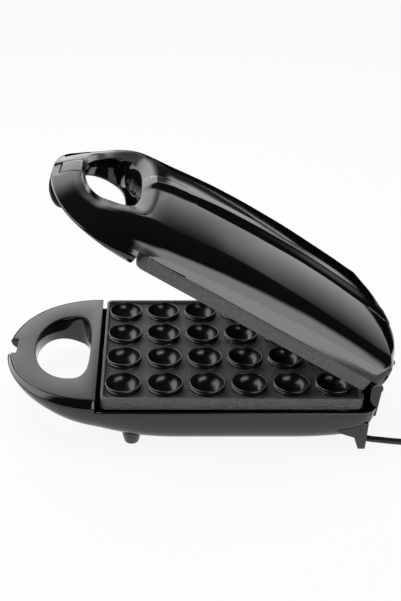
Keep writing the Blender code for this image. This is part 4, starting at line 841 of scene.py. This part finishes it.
# %% Base's own tables
BASE_DEPTH = 0.0495
BASE_REACH, BASE_POWER = 0.0920, 2.1
BASE_OUTLINE = (BASE_REACH, BASE_POWER, 0.0720, 0.74)
BASE_INSET = 0.016
BASE_PLAN = (BASE_REACH, BASE_POWER, BASE_COVER)
BASE_DEPTHS = (
    0.29, 0.29, 0.31, 0.365, 0.45, 0.55, 0.645, 0.73, 0.81,
    0.905, 0.98, 1.0, 1.0, 1.0, 1.0, 0.97, 0.905,
    0.895, 0.885, 0.885, 0.875, 0.875, 0.875, 0.875,
)
BASE_BODY_WIDTHS = (0.78, 0.825, 0.845, 0.845, 0.845, 0.845, 0.835, 0.81)
BASE_REAR_POINTS = (
    (0.932, 0.785), (0.938, 0.745), (0.942, 0.67),
    (0.945, 0.55), (0.947, 0.335), (0.948, 0.10),
)
BASE_WALL = ((0.0, 0.26, 0.5, 0.75, 0.92, 1.0), (0.15, 0.0, 0.05, 0.20, 0.50, 1.0))
BASE_RIM = 0.0130


def base_mesh(name, wall, rim_z):
    rear = ROOT_X + BODY_LENGTH
    found, shoulder = plan_of(BASE_OUTLINE, rear, 0.0, BASE_BODY_WIDTHS, BASE_REAR_POINTS, wall)
    depth = smooth_through(PLACES, BASE_DEPTHS)
    curve = wall_curve(*BASE_WALL, BASE_DEPTH, BASE_INSET)

    def heights(place):
        return wall - BASE_DEPTH * depth(place)

    def row_point(place, at, share):
        return at[0], share * at[1], PARTING + heights(place)

    rows = [-0.6, -0.2, 0.2, 0.6]
    return housing(name, found, shoulder, heights, (curve, curve), rim_z, rows, row_point)


# %% The clip's hook, and the room for it in the base's tip
HOOK_REACH, HOOK_DEPTH, HOOK_POWER = 0.0175, 0.0215, 1.65
HOOK_THICK, BARB = 0.0015, 0.0040
HOOK_SET, HOOK_RISE, HOOK_ROOM = 0.0014, 0.0022, 0.0005


def hook_line(offset, steps=30):
    """Middle line of the hook, moved outwards by an offset."""
    centre = ROOT_X - LID_REACH + HOOK_SET + HOOK_REACH
    start = PARTING + HOOK_RISE
    points = []
    for k in range(steps + 1):
        along, down = quarter(k / steps, HOOK_POWER)
        points.append((centre - (HOOK_REACH + offset) * along, start - (HOOK_DEPTH + offset) * down))
    return points


def notch_tool():
    inner = hook_line(-HOOK_THICK / 2.0 - HOOK_ROOM)
    far = ROOT_X - BASE_REACH - PAST
    end_x, end_z = inner[-1]
    top, low = PARTING + PAST, PARTING - BASE_DEPTH
    tab = end_x + BARB + HOOK_ROOM
    outline = [(far, top), (inner[0][0], top), *inner, (tab, end_z), (tab, low), (far, low)]
    return side_prism("notch", outline, -LATCH_HALF, LATCH_HALF)


# %% Base shell
def post_outline():
    """A hinge post seen from the side: a stem with a round head about the axis."""
    foot = PARTING - BASE_RIM - 0.011
    head = arc((HINGE_X, HINGE_Z), EYE, 1.0, -1.2, 40)
    return [(HINGE_X - EYE, foot), *head, (ROOT_X + BODY_LENGTH - WALL / 2.0, foot)]


def base_shell_mesh():
    deep, top = PARTING - BASE_DEPTH - PAST, PARTING + 2.0 * PAST
    rims = (PARTING - 0.00025, PARTING + PAST)
    shell = hollowed("base", base_mesh, rims, BASE_HOLE, BASE_REACH, LATCH_HALF + 0.0030, deep, top)
    cut(shell, prism("pocket", cover_outline(*BASE_PLAN, FIT), PARTING - COVER_THICK - FIT, top))
    body = box_outline(ROOT_X, ROOT_X + 2.0 * BODY_LENGTH, -HIGH, HIGH)
    cut(shell, prism("body_top", body, PARTING - BASE_RIM, top))
    cut(shell, prism("hole", hole_outline(BASE_HOLE, 0.0), deep, top))
    cut(shell, notch_tool())
    join_pair(shell, "post", post_outline(), POST_INNER, POST_OUTER)
    soften(shell, SHELL_EDGE)
    return baked(shell)


add_piece("base_housing", base_shell_mesh(), "base", gloss_black, "base_shell")

# %% [markdown]
# Each handle has a satin cover let into it. Its hand hole is a little wider than the shell's, so
# the shell shows as a thin dark line round the hole, as it does on the real cooker.

# %% Handle covers
HOLE_STEP = 0.0011


def cover_mesh(name, plan, reaches, low, tools=()):
    """A flat cover with the hand hole in it and softened edges."""
    cover = prism(name, cover_outline(*plan, -FIT), low, low + COVER_THICK)
    cut(cover, prism("hand", hole_outline(reaches, HOLE_STEP), low - 0.01, low + 0.01))
    for tool in tools:
        cut(cover, tool)
    soften(cover, SMALL_EDGE, 3)
    return baked(cover)


base_cover = cover_mesh("base_cover", BASE_PLAN, BASE_HOLE, PARTING - COVER_THICK, [notch_tool()])
add_piece("base_cover_plate", base_cover, "base", cover_grey, "base_handle_cover")
slot_room = prism("slot", box_outline(-0.3, SLOT_REAR, -LATCH_HALF, LATCH_HALF), 0.0, HIGH)
lid_cover = cover_mesh("lid_cover", LID_PLAN, LID_HOLE, LID_LOW, [slot_room])
add_piece("lid_cover_plate", lid_cover, "lid", cover_grey, "lid_handle_cover")

# %% [markdown]
# The latch: a strip that fills the lid's slot flush with the handle, and a thin clip that hangs
# from a pin in front of it. The clip is one bent sheet, so its outline is drawn from the side
# and pulled across. The strip is cut from the lid's own form, which keeps it flush. It reaches a
# little over the clip, so the room in which the clip's brow swings is cut out below it.

# %% Latch strip
SWING_RADIUS = BROW + 0.0005
SWING_START, SWING_STEP, SWING_COUNT = 75.0, 6.0, 44
SWING_CORNERS = ((0.0092, 180.0), (0.0090, 134.0))


def strip_mesh():
    outline = box_outline(BRIDGE_FRONT, BRIDGE_REAR, BRIDGE_LOW, HIGH)
    strip = side_prism("strip", outline, -LATCH_HALF + FIT, LATCH_HALF - FIT)
    cut(strip, scratch("lid_form", lid_mesh("lid_form", 0.0, PARTING - PAST)), "INTERSECT")
    cut(strip, prism("hole", hole_outline(LID_HOLE, 0.0), PARTING - 0.01, HIGH))
    round_part = [(SWING_RADIUS, SWING_START - SWING_STEP * k) for k in range(SWING_COUNT)]
    swept = []
    for radius, degrees in [*round_part, *SWING_CORNERS]:
        angle = math.radians(degrees)
        swept.append((LATCH_X + radius * math.cos(angle), LATCH_Z + radius * math.sin(angle)))
    cut(strip, side_prism("swing", swept, -LATCH_WIDTH, LATCH_WIDTH))
    soften(strip, SMALL_EDGE)
    return baked(strip)


add_piece("latch_strip", strip_mesh(), "lid", gloss_black, "latch_bridge")

# %% Latch clip
def clip_mesh():
    """Seen from the side: a brow, an eye about the pin, then the hook with its barb."""
    brow = math.pi * 0.75
    outline = [(LATCH_X + BROW * math.cos(brow), LATCH_Z + BROW * math.sin(brow))]
    outline += arc((LATCH_X, LATCH_Z), KNUCKLE, 0.75, -1.05, 36)[1:-1]
    outer = hook_line(HOOK_THICK / 2.0)
    end_x, end_z = outer[-1]
    barb = [(end_x + BARB, end_z + HOOK_THICK), (end_x + BARB, end_z + 0.0004)]
    outline += hook_line(-HOOK_THICK / 2.0) + barb + outer[::-1]
    clip = side_prism("clip", outline, -LATCH_WIDTH / 2.0, LATCH_WIDTH / 2.0)
    soften(clip, SMALL_EDGE)
    return baked(clip)


add_piece("latch_hook", clip_mesh(), "latch", cover_grey, "latch_clip")

# %% [markdown]
# The lower plate carries 24 cups in a grid of 6 by 4. One cup is turned once, with a rounded rim
# and a deep bowl, and Geometry Nodes set it out over the grid. The number of columns and rows
# and both pitches are inputs of the tree, so a plate of another size needs no new mesh.

# %% Geometry Nodes: a grid of copies
def new_tree(name, *inputs):
    """A tree that takes a piece, a finish and the given inputs."""
    tree = bpy.data.node_groups.new(name, "GeometryNodeTree")
    usual = (("Geometry", "Geometry", None), ("Piece", "Object", None), ("Finish", "Material", None))
    for title, kind, value in (*usual, *inputs):
        made = tree.interface.new_socket(title, in_out="INPUT", socket_type=f"NodeSocket{kind}")
        if value is not None:
            made.default_value = value
    tree.interface.new_socket("Geometry", in_out="OUTPUT", socket_type="NodeSocketGeometry")
    return tree, tree.nodes.new("NodeGroupInput").outputs


def end_tree(tree, given, points):
    """Copies of the piece on points, turned to real faces, with the finish set."""
    piece, copies, real, finish = (
        tree.nodes.new(f"GeometryNode{kind}")
        for kind in ("ObjectInfo", "InstanceOnPoints", "RealizeInstances", "SetMaterial")
    )
    out = tree.nodes.new("NodeGroupOutput")
    for source, target in (
        (given["Piece"], piece.inputs["Object"]), (piece.outputs["Geometry"], copies.inputs["Instance"]),
        (points, copies.inputs["Points"]), (copies.outputs[0], real.inputs[0]),
        (real.outputs[0], finish.inputs["Geometry"]), (given["Finish"], finish.inputs["Material"]),
        (finish.outputs[0], out.inputs[0]),
    ):
        tree.links.new(source, target)
    return tree


def grid_tree():
    tree, given = new_tree(
        "grid_of_copies", ("Columns", "Int", 6), ("Rows", "Int", 4), ("Pitch X", "Float", 0.040),
        ("Pitch Y", "Float", 0.047), ("Centre X", "Float", 0.0), ("Height", "Float", 0.0),
    )
    ns, ls = tree.nodes, tree.links
    work = partial(math_node, ns, ls)
    grid = ns.new("GeometryNodeMeshGrid")
    for axis, count in (("X", "Columns"), ("Y", "Rows")):
        spaces = work("SUBTRACT", given[count], 1.0)
        ls.new(work("MULTIPLY", spaces, given[f"Pitch {axis}"]), grid.inputs[f"Size {axis}"])
        ls.new(given[count], grid.inputs[f"Vertices {axis}"])
    place = ns.new("ShaderNodeCombineXYZ")
    ls.new(given["Centre X"], place.inputs["X"])
    ls.new(given["Height"], place.inputs["Z"])
    moved = ns.new("GeometryNodeSetPosition")
    ls.new(grid.outputs[0], moved.inputs["Geometry"])
    ls.new(place.outputs[0], moved.inputs["Offset"])
    return end_tree(tree, given, moved.outputs[0])


def points_tree():
    tree, given = new_tree("copies_on_points")
    return end_tree(tree, given, given["Geometry"])


def run_tree(carrier, tree, values):
    """The plain mesh that a tree makes on an object. Inputs are set by their identifiers."""
    step = carrier.modifiers.new(tree.name, "NODES")
    step.node_group = tree
    for item in tree.interface.items_tree:
        if item.in_out == "INPUT" and item.name in values:
            step[item.identifier] = values[item.name]
    return baked(carrier)


GRID_TREE = grid_tree()
POINTS_TREE = points_tree()
print("trees:", GRID_TREE.name, POINTS_TREE.name)

# %% Copies over the plate
PLATE_CENTRE, PLATE_SIZE = (0.0281, 0.0), (0.2455, 0.1926)
CUP_GRID = {
    "Columns": 6, "Rows": 4, "Pitch X": 0.040, "Pitch Y": 0.047,
    "Centre X": PLATE_CENTRE[0] - 0.0016, "Height": PARTING,
}
CUP_SIDES, DOME_SIDES = 56, 48


def bowl(radius, top, depth):
    """A bowl's curve of (radius, height), from its rim to near its middle."""
    angles = [0.5 * math.pi * k / 15 for k in range(1, 15)]
    return [(radius * math.cos(a) ** 0.8, top - depth * math.sin(a) ** 1.15) for a in angles]


def over_grid(name, profile, sides, finish):
    """A turned profile at every cup's place, as one mesh."""
    piece = scratch(name, mesh_of(name, lambda shape: turned(shape, profile, sides=sides)))
    carrier = scratch(f"{name}_grid", bpy.data.meshes.new("empty"))
    return run_tree(carrier, GRID_TREE, {**CUP_GRID, "Piece": piece, "Finish": finish})


# %% Cups: neck, rim band and bowl in one run, from below the floor to the bowl's middle
CUP_NECK = (
    (0.0090, -0.0132), (0.0166, -0.0065), (0.0170, -0.0042), (0.01665, -0.0038),
    (0.0166, -0.0027), (0.0170, -0.0025), (0.01735, -0.0020), (0.01735, -0.0014), (0.0170, -0.0010),
    (0.0166, -0.0007), (0.0166, -0.0001), (0.0170, 0.0002), (0.0174, 0.0006), (0.01742, 0.0012),
    (0.0172, 0.0017), (0.01685, 0.0020), (0.0164, 0.0020), (0.01612, 0.0018), (0.0160, 0.0014),
)
cups = over_grid("cup", [*CUP_NECK, *bowl(0.0160, 0.0014, 0.0124)], CUP_SIDES, cup_coating)
print("cups:", len(cups.polygons), "faces")

# %% Plates: a tray with a lip and a skirt
LIP = 0.0030
TRAY_LOOPS = (
    (LIP, 0.0045), (LIP, 0.0045), (0.0005, 0.0060), (0.0, 0.0060), (0.0, 0.0060), (0.0002, 0.0060),
    (0.0006, 0.0058), (0.0024, 0.0050), (0.0028, 0.0048), (LIP, 0.0047), (LIP, 0.0047), (0.0036, 0.0042),
)
LOWER_LEVELS = (
    -0.0065, -0.0124, -0.0124, -0.0119, -0.0005, -0.0001, 0.0, 0.0, -0.0002, -0.0006, -0.0034, -0.0040,
)
UPPER_LEVELS = (
    0.0055, 0.0172, 0.0172, 0.0168, 0.0010, 0.0006, 0.0005, 0.0005, 0.0007, 0.0011, 0.0024, 0.0030,
)
WELL = ((0.0166, -0.02), (0.0166, 0.01))
DOME_FOOT = ((0.0135, 0.0035), (0.0132, 0.0030), (0.0126, 0.0026))


def tray_mesh(name, levels):
    """A tray lofted through loops of (inset, corner radius), each at its own level."""
    rings = []
    for (inset, radius), z in zip(TRAY_LOOPS, levels):
        loop = rounded_box(PLATE_CENTRE, PLATE_SIZE, inset, radius)
        rings.append([(x, y, PARTING + z) for x, y in loop])
    return mesh_of(name, lambda shape: skin(shape, rings))


def lower_plate_mesh():
    """The tray with a round well for every cup."""
    wells = over_grid("well", WELL, CUP_SIDES, coating_and_painted_sheen)
    tray = scratch("tray", tray_mesh("tray", LOWER_LEVELS))
    cut(tray, scratch("wells", wells))
    return baked(tray)


def upper_plate_mesh():
    """The tray and its domes in one mesh, each kept as it is."""
    profile = [*DOME_FOOT, *bowl(0.0125, 0.0024, 0.0099)]
    domes = over_grid("dome", profile, DOME_SIDES, coating_and_painted_sheen)
    shape = bmesh.new()
    for mesh in (tray_mesh("upper_tray", UPPER_LEVELS), domes):
        shape.from_mesh(mesh)
    made = bpy.data.meshes.new("upper_plate")
    shape.to_mesh(made)
    shape.free()
    return made


# The tray and the upper plate take the lighter coating copy, with its painted sheen; the cups take the
# coating's own dark tone.
add_piece("lower_plate", lower_plate_mesh(), "base", coating_and_painted_sheen, "lower_cooking_plate", sharp=40.0)
cups_piece = add_piece("lower_cups", cups, "base", cup_coating, sharp=40.0)
add_piece("upper_plate", upper_plate_mesh(), "lid", coating_and_painted_sheen, "upper_cooking_plate", sharp=40.0)

# %% [markdown]
# Screws hold the covers. Their heads have a recess with six lobes. One head is made, and a second
# small tree sets it on points, which are the vertices of a mesh without faces.

# %% Screws
HEAD_RINGS = ((0.0012, -0.0075), (0.0012, -0.0012), (0.0022, -0.0012), (0.0022, -0.0003), (0.0019, 0.0))
RECESS_RADIUS = 0.0012
RECESS_RINGS = ((1.08, 0.0), (1.0, -0.0001), (0.94, -0.0007))
SCREW_PLACES = ((0.147, 0.68), (0.774, 0.304))
SCREW_POINTS = [
    (ROOT_X - x * BASE_REACH, side * y * HALF_WIDTH) for x, y in SCREW_PLACES for side in (-1, 1)
]


def screw_head_mesh(up):
    """A round head with a lobed recess, its top at height 0, facing up or down."""
    turns = [2.0 * math.pi * k / 48 for k in range(48)]
    lobes = [1.0 + 0.22 * math.cos(6.0 * a) for a in turns]
    rings = [[(r * math.cos(a), r * math.sin(a), up * z) for a in turns] for r, z in HEAD_RINGS]
    for share, z in RECESS_RINGS:
        reaches = [RECESS_RADIUS * share * lobe for lobe in lobes]
        rings.append([(r * math.cos(a), r * math.sin(a), up * z) for a, r in zip(turns, reaches)])
    return mesh_of("screw_head", lambda shape: skin(shape, rings))


def screws_mesh(height, up):
    points = bpy.data.meshes.new("screw_points")
    points.from_pydata([(x, y, height) for x, y in SCREW_POINTS], [], [])
    head = scratch("head", screw_head_mesh(up))
    return run_tree(scratch("screws", points), POINTS_TREE, {"Piece": head, "Finish": screw_black})


for word, height, up in (("base", PARTING - 0.0002, 1.0), ("lid", PARTING + 0.0007, -1.0)):
    names = [f"{word}_cover_screw_{k}" for k in range(1, 5)]
    add_piece(f"{word}_screws", screws_mesh(height, up), word, screw_black, *names)

# %% [markdown]
# Four feet. The front ones are turned rubber-like cones with a rounded sole, and the rear ones
# are angular legs that reach behind the base, so that the lid can swing back without tipping.

# %% Feet and legs
FOOT_PROFILE = ((0.0062, 0.0), (0.0068, 0.0002), (0.0072, 0.0008), (0.0092, 0.0100), (0.0093, 0.0148))
FOOT_X, FOOT_Y = ROOT_X + 0.0340, HALF_WIDTH - 0.0175
LEG_SHARES = ((1.0, 0.0), (0.76, 0.0), (0.58, 0.44), (0.0, 0.64), (0.0, 1.0), (1.0, 1.0))
LEG_REAR, LEG_OUTER = ROOT_X + BODY_LENGTH - 0.0091, HALF_WIDTH - 0.0025
LEG_LENGTH, LEG_HEIGHT, LEG_WIDTH, LEG_EDGE = 0.0283, 0.0300, 0.0120, 0.0008


def seated(piece):
    """The mesh of a piece, cut to sit against the base."""
    cut(piece, scratch("seat", base_mesh("seat", -FIT, PARTING)))
    return baked(piece)


def front_foot_mesh(side):
    place = (FOOT_X, side * FOOT_Y)
    return seated(scratch("foot", mesh_of("foot", lambda shape: turned(shape, FOOT_PROFILE, place))))


def rear_leg_mesh(side):
    outline = [(LEG_REAR - LEG_LENGTH * (1.0 - x), LEG_HEIGHT * z) for x, z in LEG_SHARES]
    leg = side_prism("leg", outline, *sorted((side * (LEG_OUTER - LEG_WIDTH), side * LEG_OUTER)))
    soften(leg, LEG_EDGE, 3)
    return seated(leg)


for side, word in ((-1, "near"), (1, "far")):
    add_piece(f"foot_{word}", front_foot_mesh(side), "base", satin_black, f"front_foot_{word}")
    add_piece(f"leg_{word}", rear_leg_mesh(side), "base", satin_black, f"rear_leg_{word}")

# %% Indicator lamps
LAMP_X, LAMP_Y = ROOT_X + BODY_LENGTH - 0.0515, 0.0135
LAMP_RADIUS, LAMP_LENGTH, LAMP_DOME, LAMP_STAND = 0.0022, 0.0100, 0.0012, 0.0018


def lamp_mesh(y):
    """A small domed lens that stands just out of the roof."""
    low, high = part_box("indicator_lamp_red")
    tops = Vector(((low[0] + high[0]) / 2.0, 0.0, high[2]))
    top = (LID_TURN.inverted() @ tops).z + LAMP_STAND
    edge = top - LAMP_DOME
    profile = [(LAMP_RADIUS, top - LAMP_LENGTH), (LAMP_RADIUS, edge)]
    for angle in (0.3, 0.6, 0.9, 1.2, 1.45):
        profile.append((LAMP_RADIUS * math.cos(angle), edge + LAMP_DOME * math.sin(angle)))
    return mesh_of("lamp", lambda shape: turned(shape, profile, (LAMP_X, y), 32))


add_piece("lamp_red", lamp_mesh(-LAMP_Y), "lid", lens_red, "indicator_lamp_red")
add_piece("lamp_green", lamp_mesh(LAMP_Y), "lid", lens_green, "indicator_lamp_green")

# %% [markdown]
# The mains lead is a flat twin cord: two cores side by side with a groove between. It leaves the
# base under its rear, runs along the floor, and what the photograph doesn't show of it is wound
# into a neat coil, held by a tie, with the plug beside it. It is one smooth tube on one route.

# %% Route of the lead
CORD_RADIUS = 0.0032
LEAD_ROUTE = [
    (0.1372, -0.0715, 0.0036), (0.1470, -0.0766, 0.0034), (0.1620, -0.0854, 0.0033),
    (0.1741, -0.0880, 0.0033), (0.1880, -0.0904, 0.0033), (0.2080, -0.0925, 0.0033),
    (0.2300, -0.0925, 0.0034), (0.2420, -0.0917, 0.0040),
]
TAIL_ROUTE = [
    (0.2920, -0.0902, 0.0104), (0.3040, -0.0886, 0.0086),
    (0.3150, -0.0866, 0.0082), (0.3240, -0.0852, 0.0085),
]
COIL_PLACE, COIL_RADIUS, COIL_PITCH = (0.2670, -0.0450), 0.0460, 0.0072
COIL_TURNS, COIL_LOW, COIL_LAYER = 5.0, 0.0045, 0.0072


def coil_route(points_per_turn=32):
    """In on the lower layer, a climb of half a turn, and out again on the upper one."""
    count = round(COIL_TURNS * points_per_turn)
    points = []
    for k in range(count + 1):
        turn = COIL_TURNS * k / count
        away = abs(turn - COIL_TURNS / 2.0)
        radius = COIL_RADIUS - COIL_PITCH * (COIL_TURNS / 2.0 - away)
        climb = min(1.0, max(0.0, (turn - COIL_TURNS / 2.0 + 0.25) / 0.5))
        angle = 2.0 * math.pi * (turn - 0.25)
        points.append(Vector((
            COIL_PLACE[0] + radius * math.cos(angle), COIL_PLACE[1] + radius * math.sin(angle),
            COIL_LOW + COIL_LAYER * climb,
        )))
    return points


def smooth_route(points, samples=6):
    """More points on a smooth curve through the given ones."""
    points = [Vector(point) for point in points]
    ends = [points[0], *points, points[-1]]
    fine = []
    for a, b, c, d in zip(ends, ends[1:], ends[2:], ends[3:]):
        for k in range(samples):
            t = k / samples
            fine.append(
                0.5 * (2.0 * b + (c - a) * t + (2.0 * a - 5.0 * b + 4.0 * c - d) * t * t
                       + (3.0 * b - 3.0 * c + d - a) * t ** 3)
            )
    fine.append(points[-1])
    return fine


def whole_route():
    coil = coil_route()
    step = Vector((2.0 * CORD_RADIUS, 0.0, 0.0))
    lead = [*LEAD_ROUTE, coil[0] - 2.0 * step, coil[0] - step]
    tail = [coil[-1] + step, coil[-1] + 2.0 * step, *TAIL_ROUTE]
    return smooth_route(lead) + coil + smooth_route(tail)


ROUTE = whole_route()

# %% Flat twin section
GROOVE = 0.0008


def cord_section(sides=28):
    """Points (across, up) of two cores side by side, with a groove above and below."""
    points = []
    for k in range(sides):
        angle = 2.0 * math.pi * (k + 0.5) / sides
        across, up = math.cos(angle), math.sin(angle)
        pinch = GROOVE * math.exp(-(across / 0.22) ** 2)
        height = (0.0028 - pinch) * math.copysign(abs(up) ** 0.8, up)
        points.append((CORD_RADIUS * across, height - 0.0004))
    return points


def cord_mesh(route):
    rings = []
    for i, point in enumerate(route):
        run = route[min(i + 1, len(route) - 1)] - route[max(i - 1, 0)]
        across = Vector((run.y, -run.x, 0.0)).normalized()
        up = across.cross(run).normalized()
        rings.append([tuple(point + across * a + up * b) for a, b in cord_section()])
    return mesh_of("lead", lambda shape: skin(shape, rings))


lead = add_piece(
    "mains_lead", cord_mesh(ROUTE), "base", cord_black, "power_cord", "cord_coil", "cord_tail",
)

# %% Plug, its pins and the tie
PLUG_STATIONS = (
    (0.0, 0.26, 0.42), (0.06, 0.30, 0.50), (0.25, 0.40, 0.64), (0.36, 0.62, 0.78), (0.46, 0.90, 0.92),
    (0.60, 0.985, 0.985), (0.78, 1.0, 1.0), (0.93, 0.985, 0.975), (0.98, 0.95, 0.93), (1.0, 0.90, 0.86),
)
PLUG_LENGTH, PLUG_WIDTH, PLUG_THICK = 0.0380, 0.0290, 0.0160
PIN_PROFILE = (
    (0.0, 0.0020), (0.0095, 0.0020), (0.0096, 0.00185), (0.0175, 0.00185), (0.0185, 0.0015), (0.0190, 0.0007),
)
PIN_OUT = 0.0093
TIE_THICK = 0.0010


def run_mesh(name, start, run, sections, sides, power=1.0):
    """A closed body of oval rings along a run. Sections are (along, half width, half height)."""
    across = Vector((-run.y, run.x, 0.0))
    rings = []
    for along, wide, high in sections:
        ring = []
        for k in range(sides):
            angle = 2.0 * math.pi * k / sides
            c, s = math.cos(angle), math.sin(angle)
            point = start + run * along + across * (wide * math.copysign(abs(c) ** power, c))
            point.z += high * math.copysign(abs(s) ** power, s)
            ring.append(tuple(point))
        rings.append(ring)
    return mesh_of(name, lambda shape: skin(shape, rings))


def plug_mesh(front, run):
    """A moulded plug body along the lead's last run, with a round waist for the fingers."""
    shares, wides, thicks = zip(*PLUG_STATIONS)
    wide, thick = smooth_through(shares, wides), smooth_through(shares, thicks)
    sections = []
    for share in (k / 40 for k in range(41)):
        halves = (PLUG_WIDTH / 2.0 * wide(share), PLUG_THICK / 2.0 * thick(share))
        sections.append((0.0003 + share * PLUG_LENGTH, *halves))
    return run_mesh("plug", front, run, sections, 40, 0.8)


def tie_mesh():
    """A thin band round the loops on the coil's far side, with rounded corners."""
    low, high = (Vector(corner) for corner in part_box("cord_tie"))
    centre = ((high.y + low.y) / 2.0, (high.z + low.z) / 2.0)
    size = (high.y - low.y, high.z - low.z)
    outer = rounded_box(centre, size, 0.0, 0.0018, 6)
    inner = rounded_box(centre, size, TIE_THICK, 0.0008, 6)
    rings = [
        [(at, cy, cz) for cy, cz in edge]
        for edge, at in ((outer, low.x), (outer, high.x), (inner, high.x), (inner, low.x), (outer, low.x))
    ]
    return mesh_of("tie", lambda shape: skin(shape, rings, ends=False))


END = Vector(TAIL_ROUTE[-1])
RUN = END - Vector(TAIL_ROUTE[-2])
RUN = Vector((RUN.x, RUN.y, 0.0)).normalized()
ACROSS = Vector((-RUN.y, RUN.x, 0.0))
plug = add_piece("plug", plug_mesh(END, RUN), "base", cord_black, "plug_body")
for side, word in ((-1, "near"), (1, "far")):
    foot = END + RUN * (0.0006 + PLUG_LENGTH) + ACROSS * (side * PIN_OUT)
    pin = run_mesh("pin", foot, RUN, [(along, r, r) for along, r in PIN_PROFILE], 20)
    add_piece(f"pin_{word}", pin, "base", steel, f"plug_pin_{word}")
tie = add_piece("lead_tie", tie_mesh(), "base", satin_black, "cord_tie")
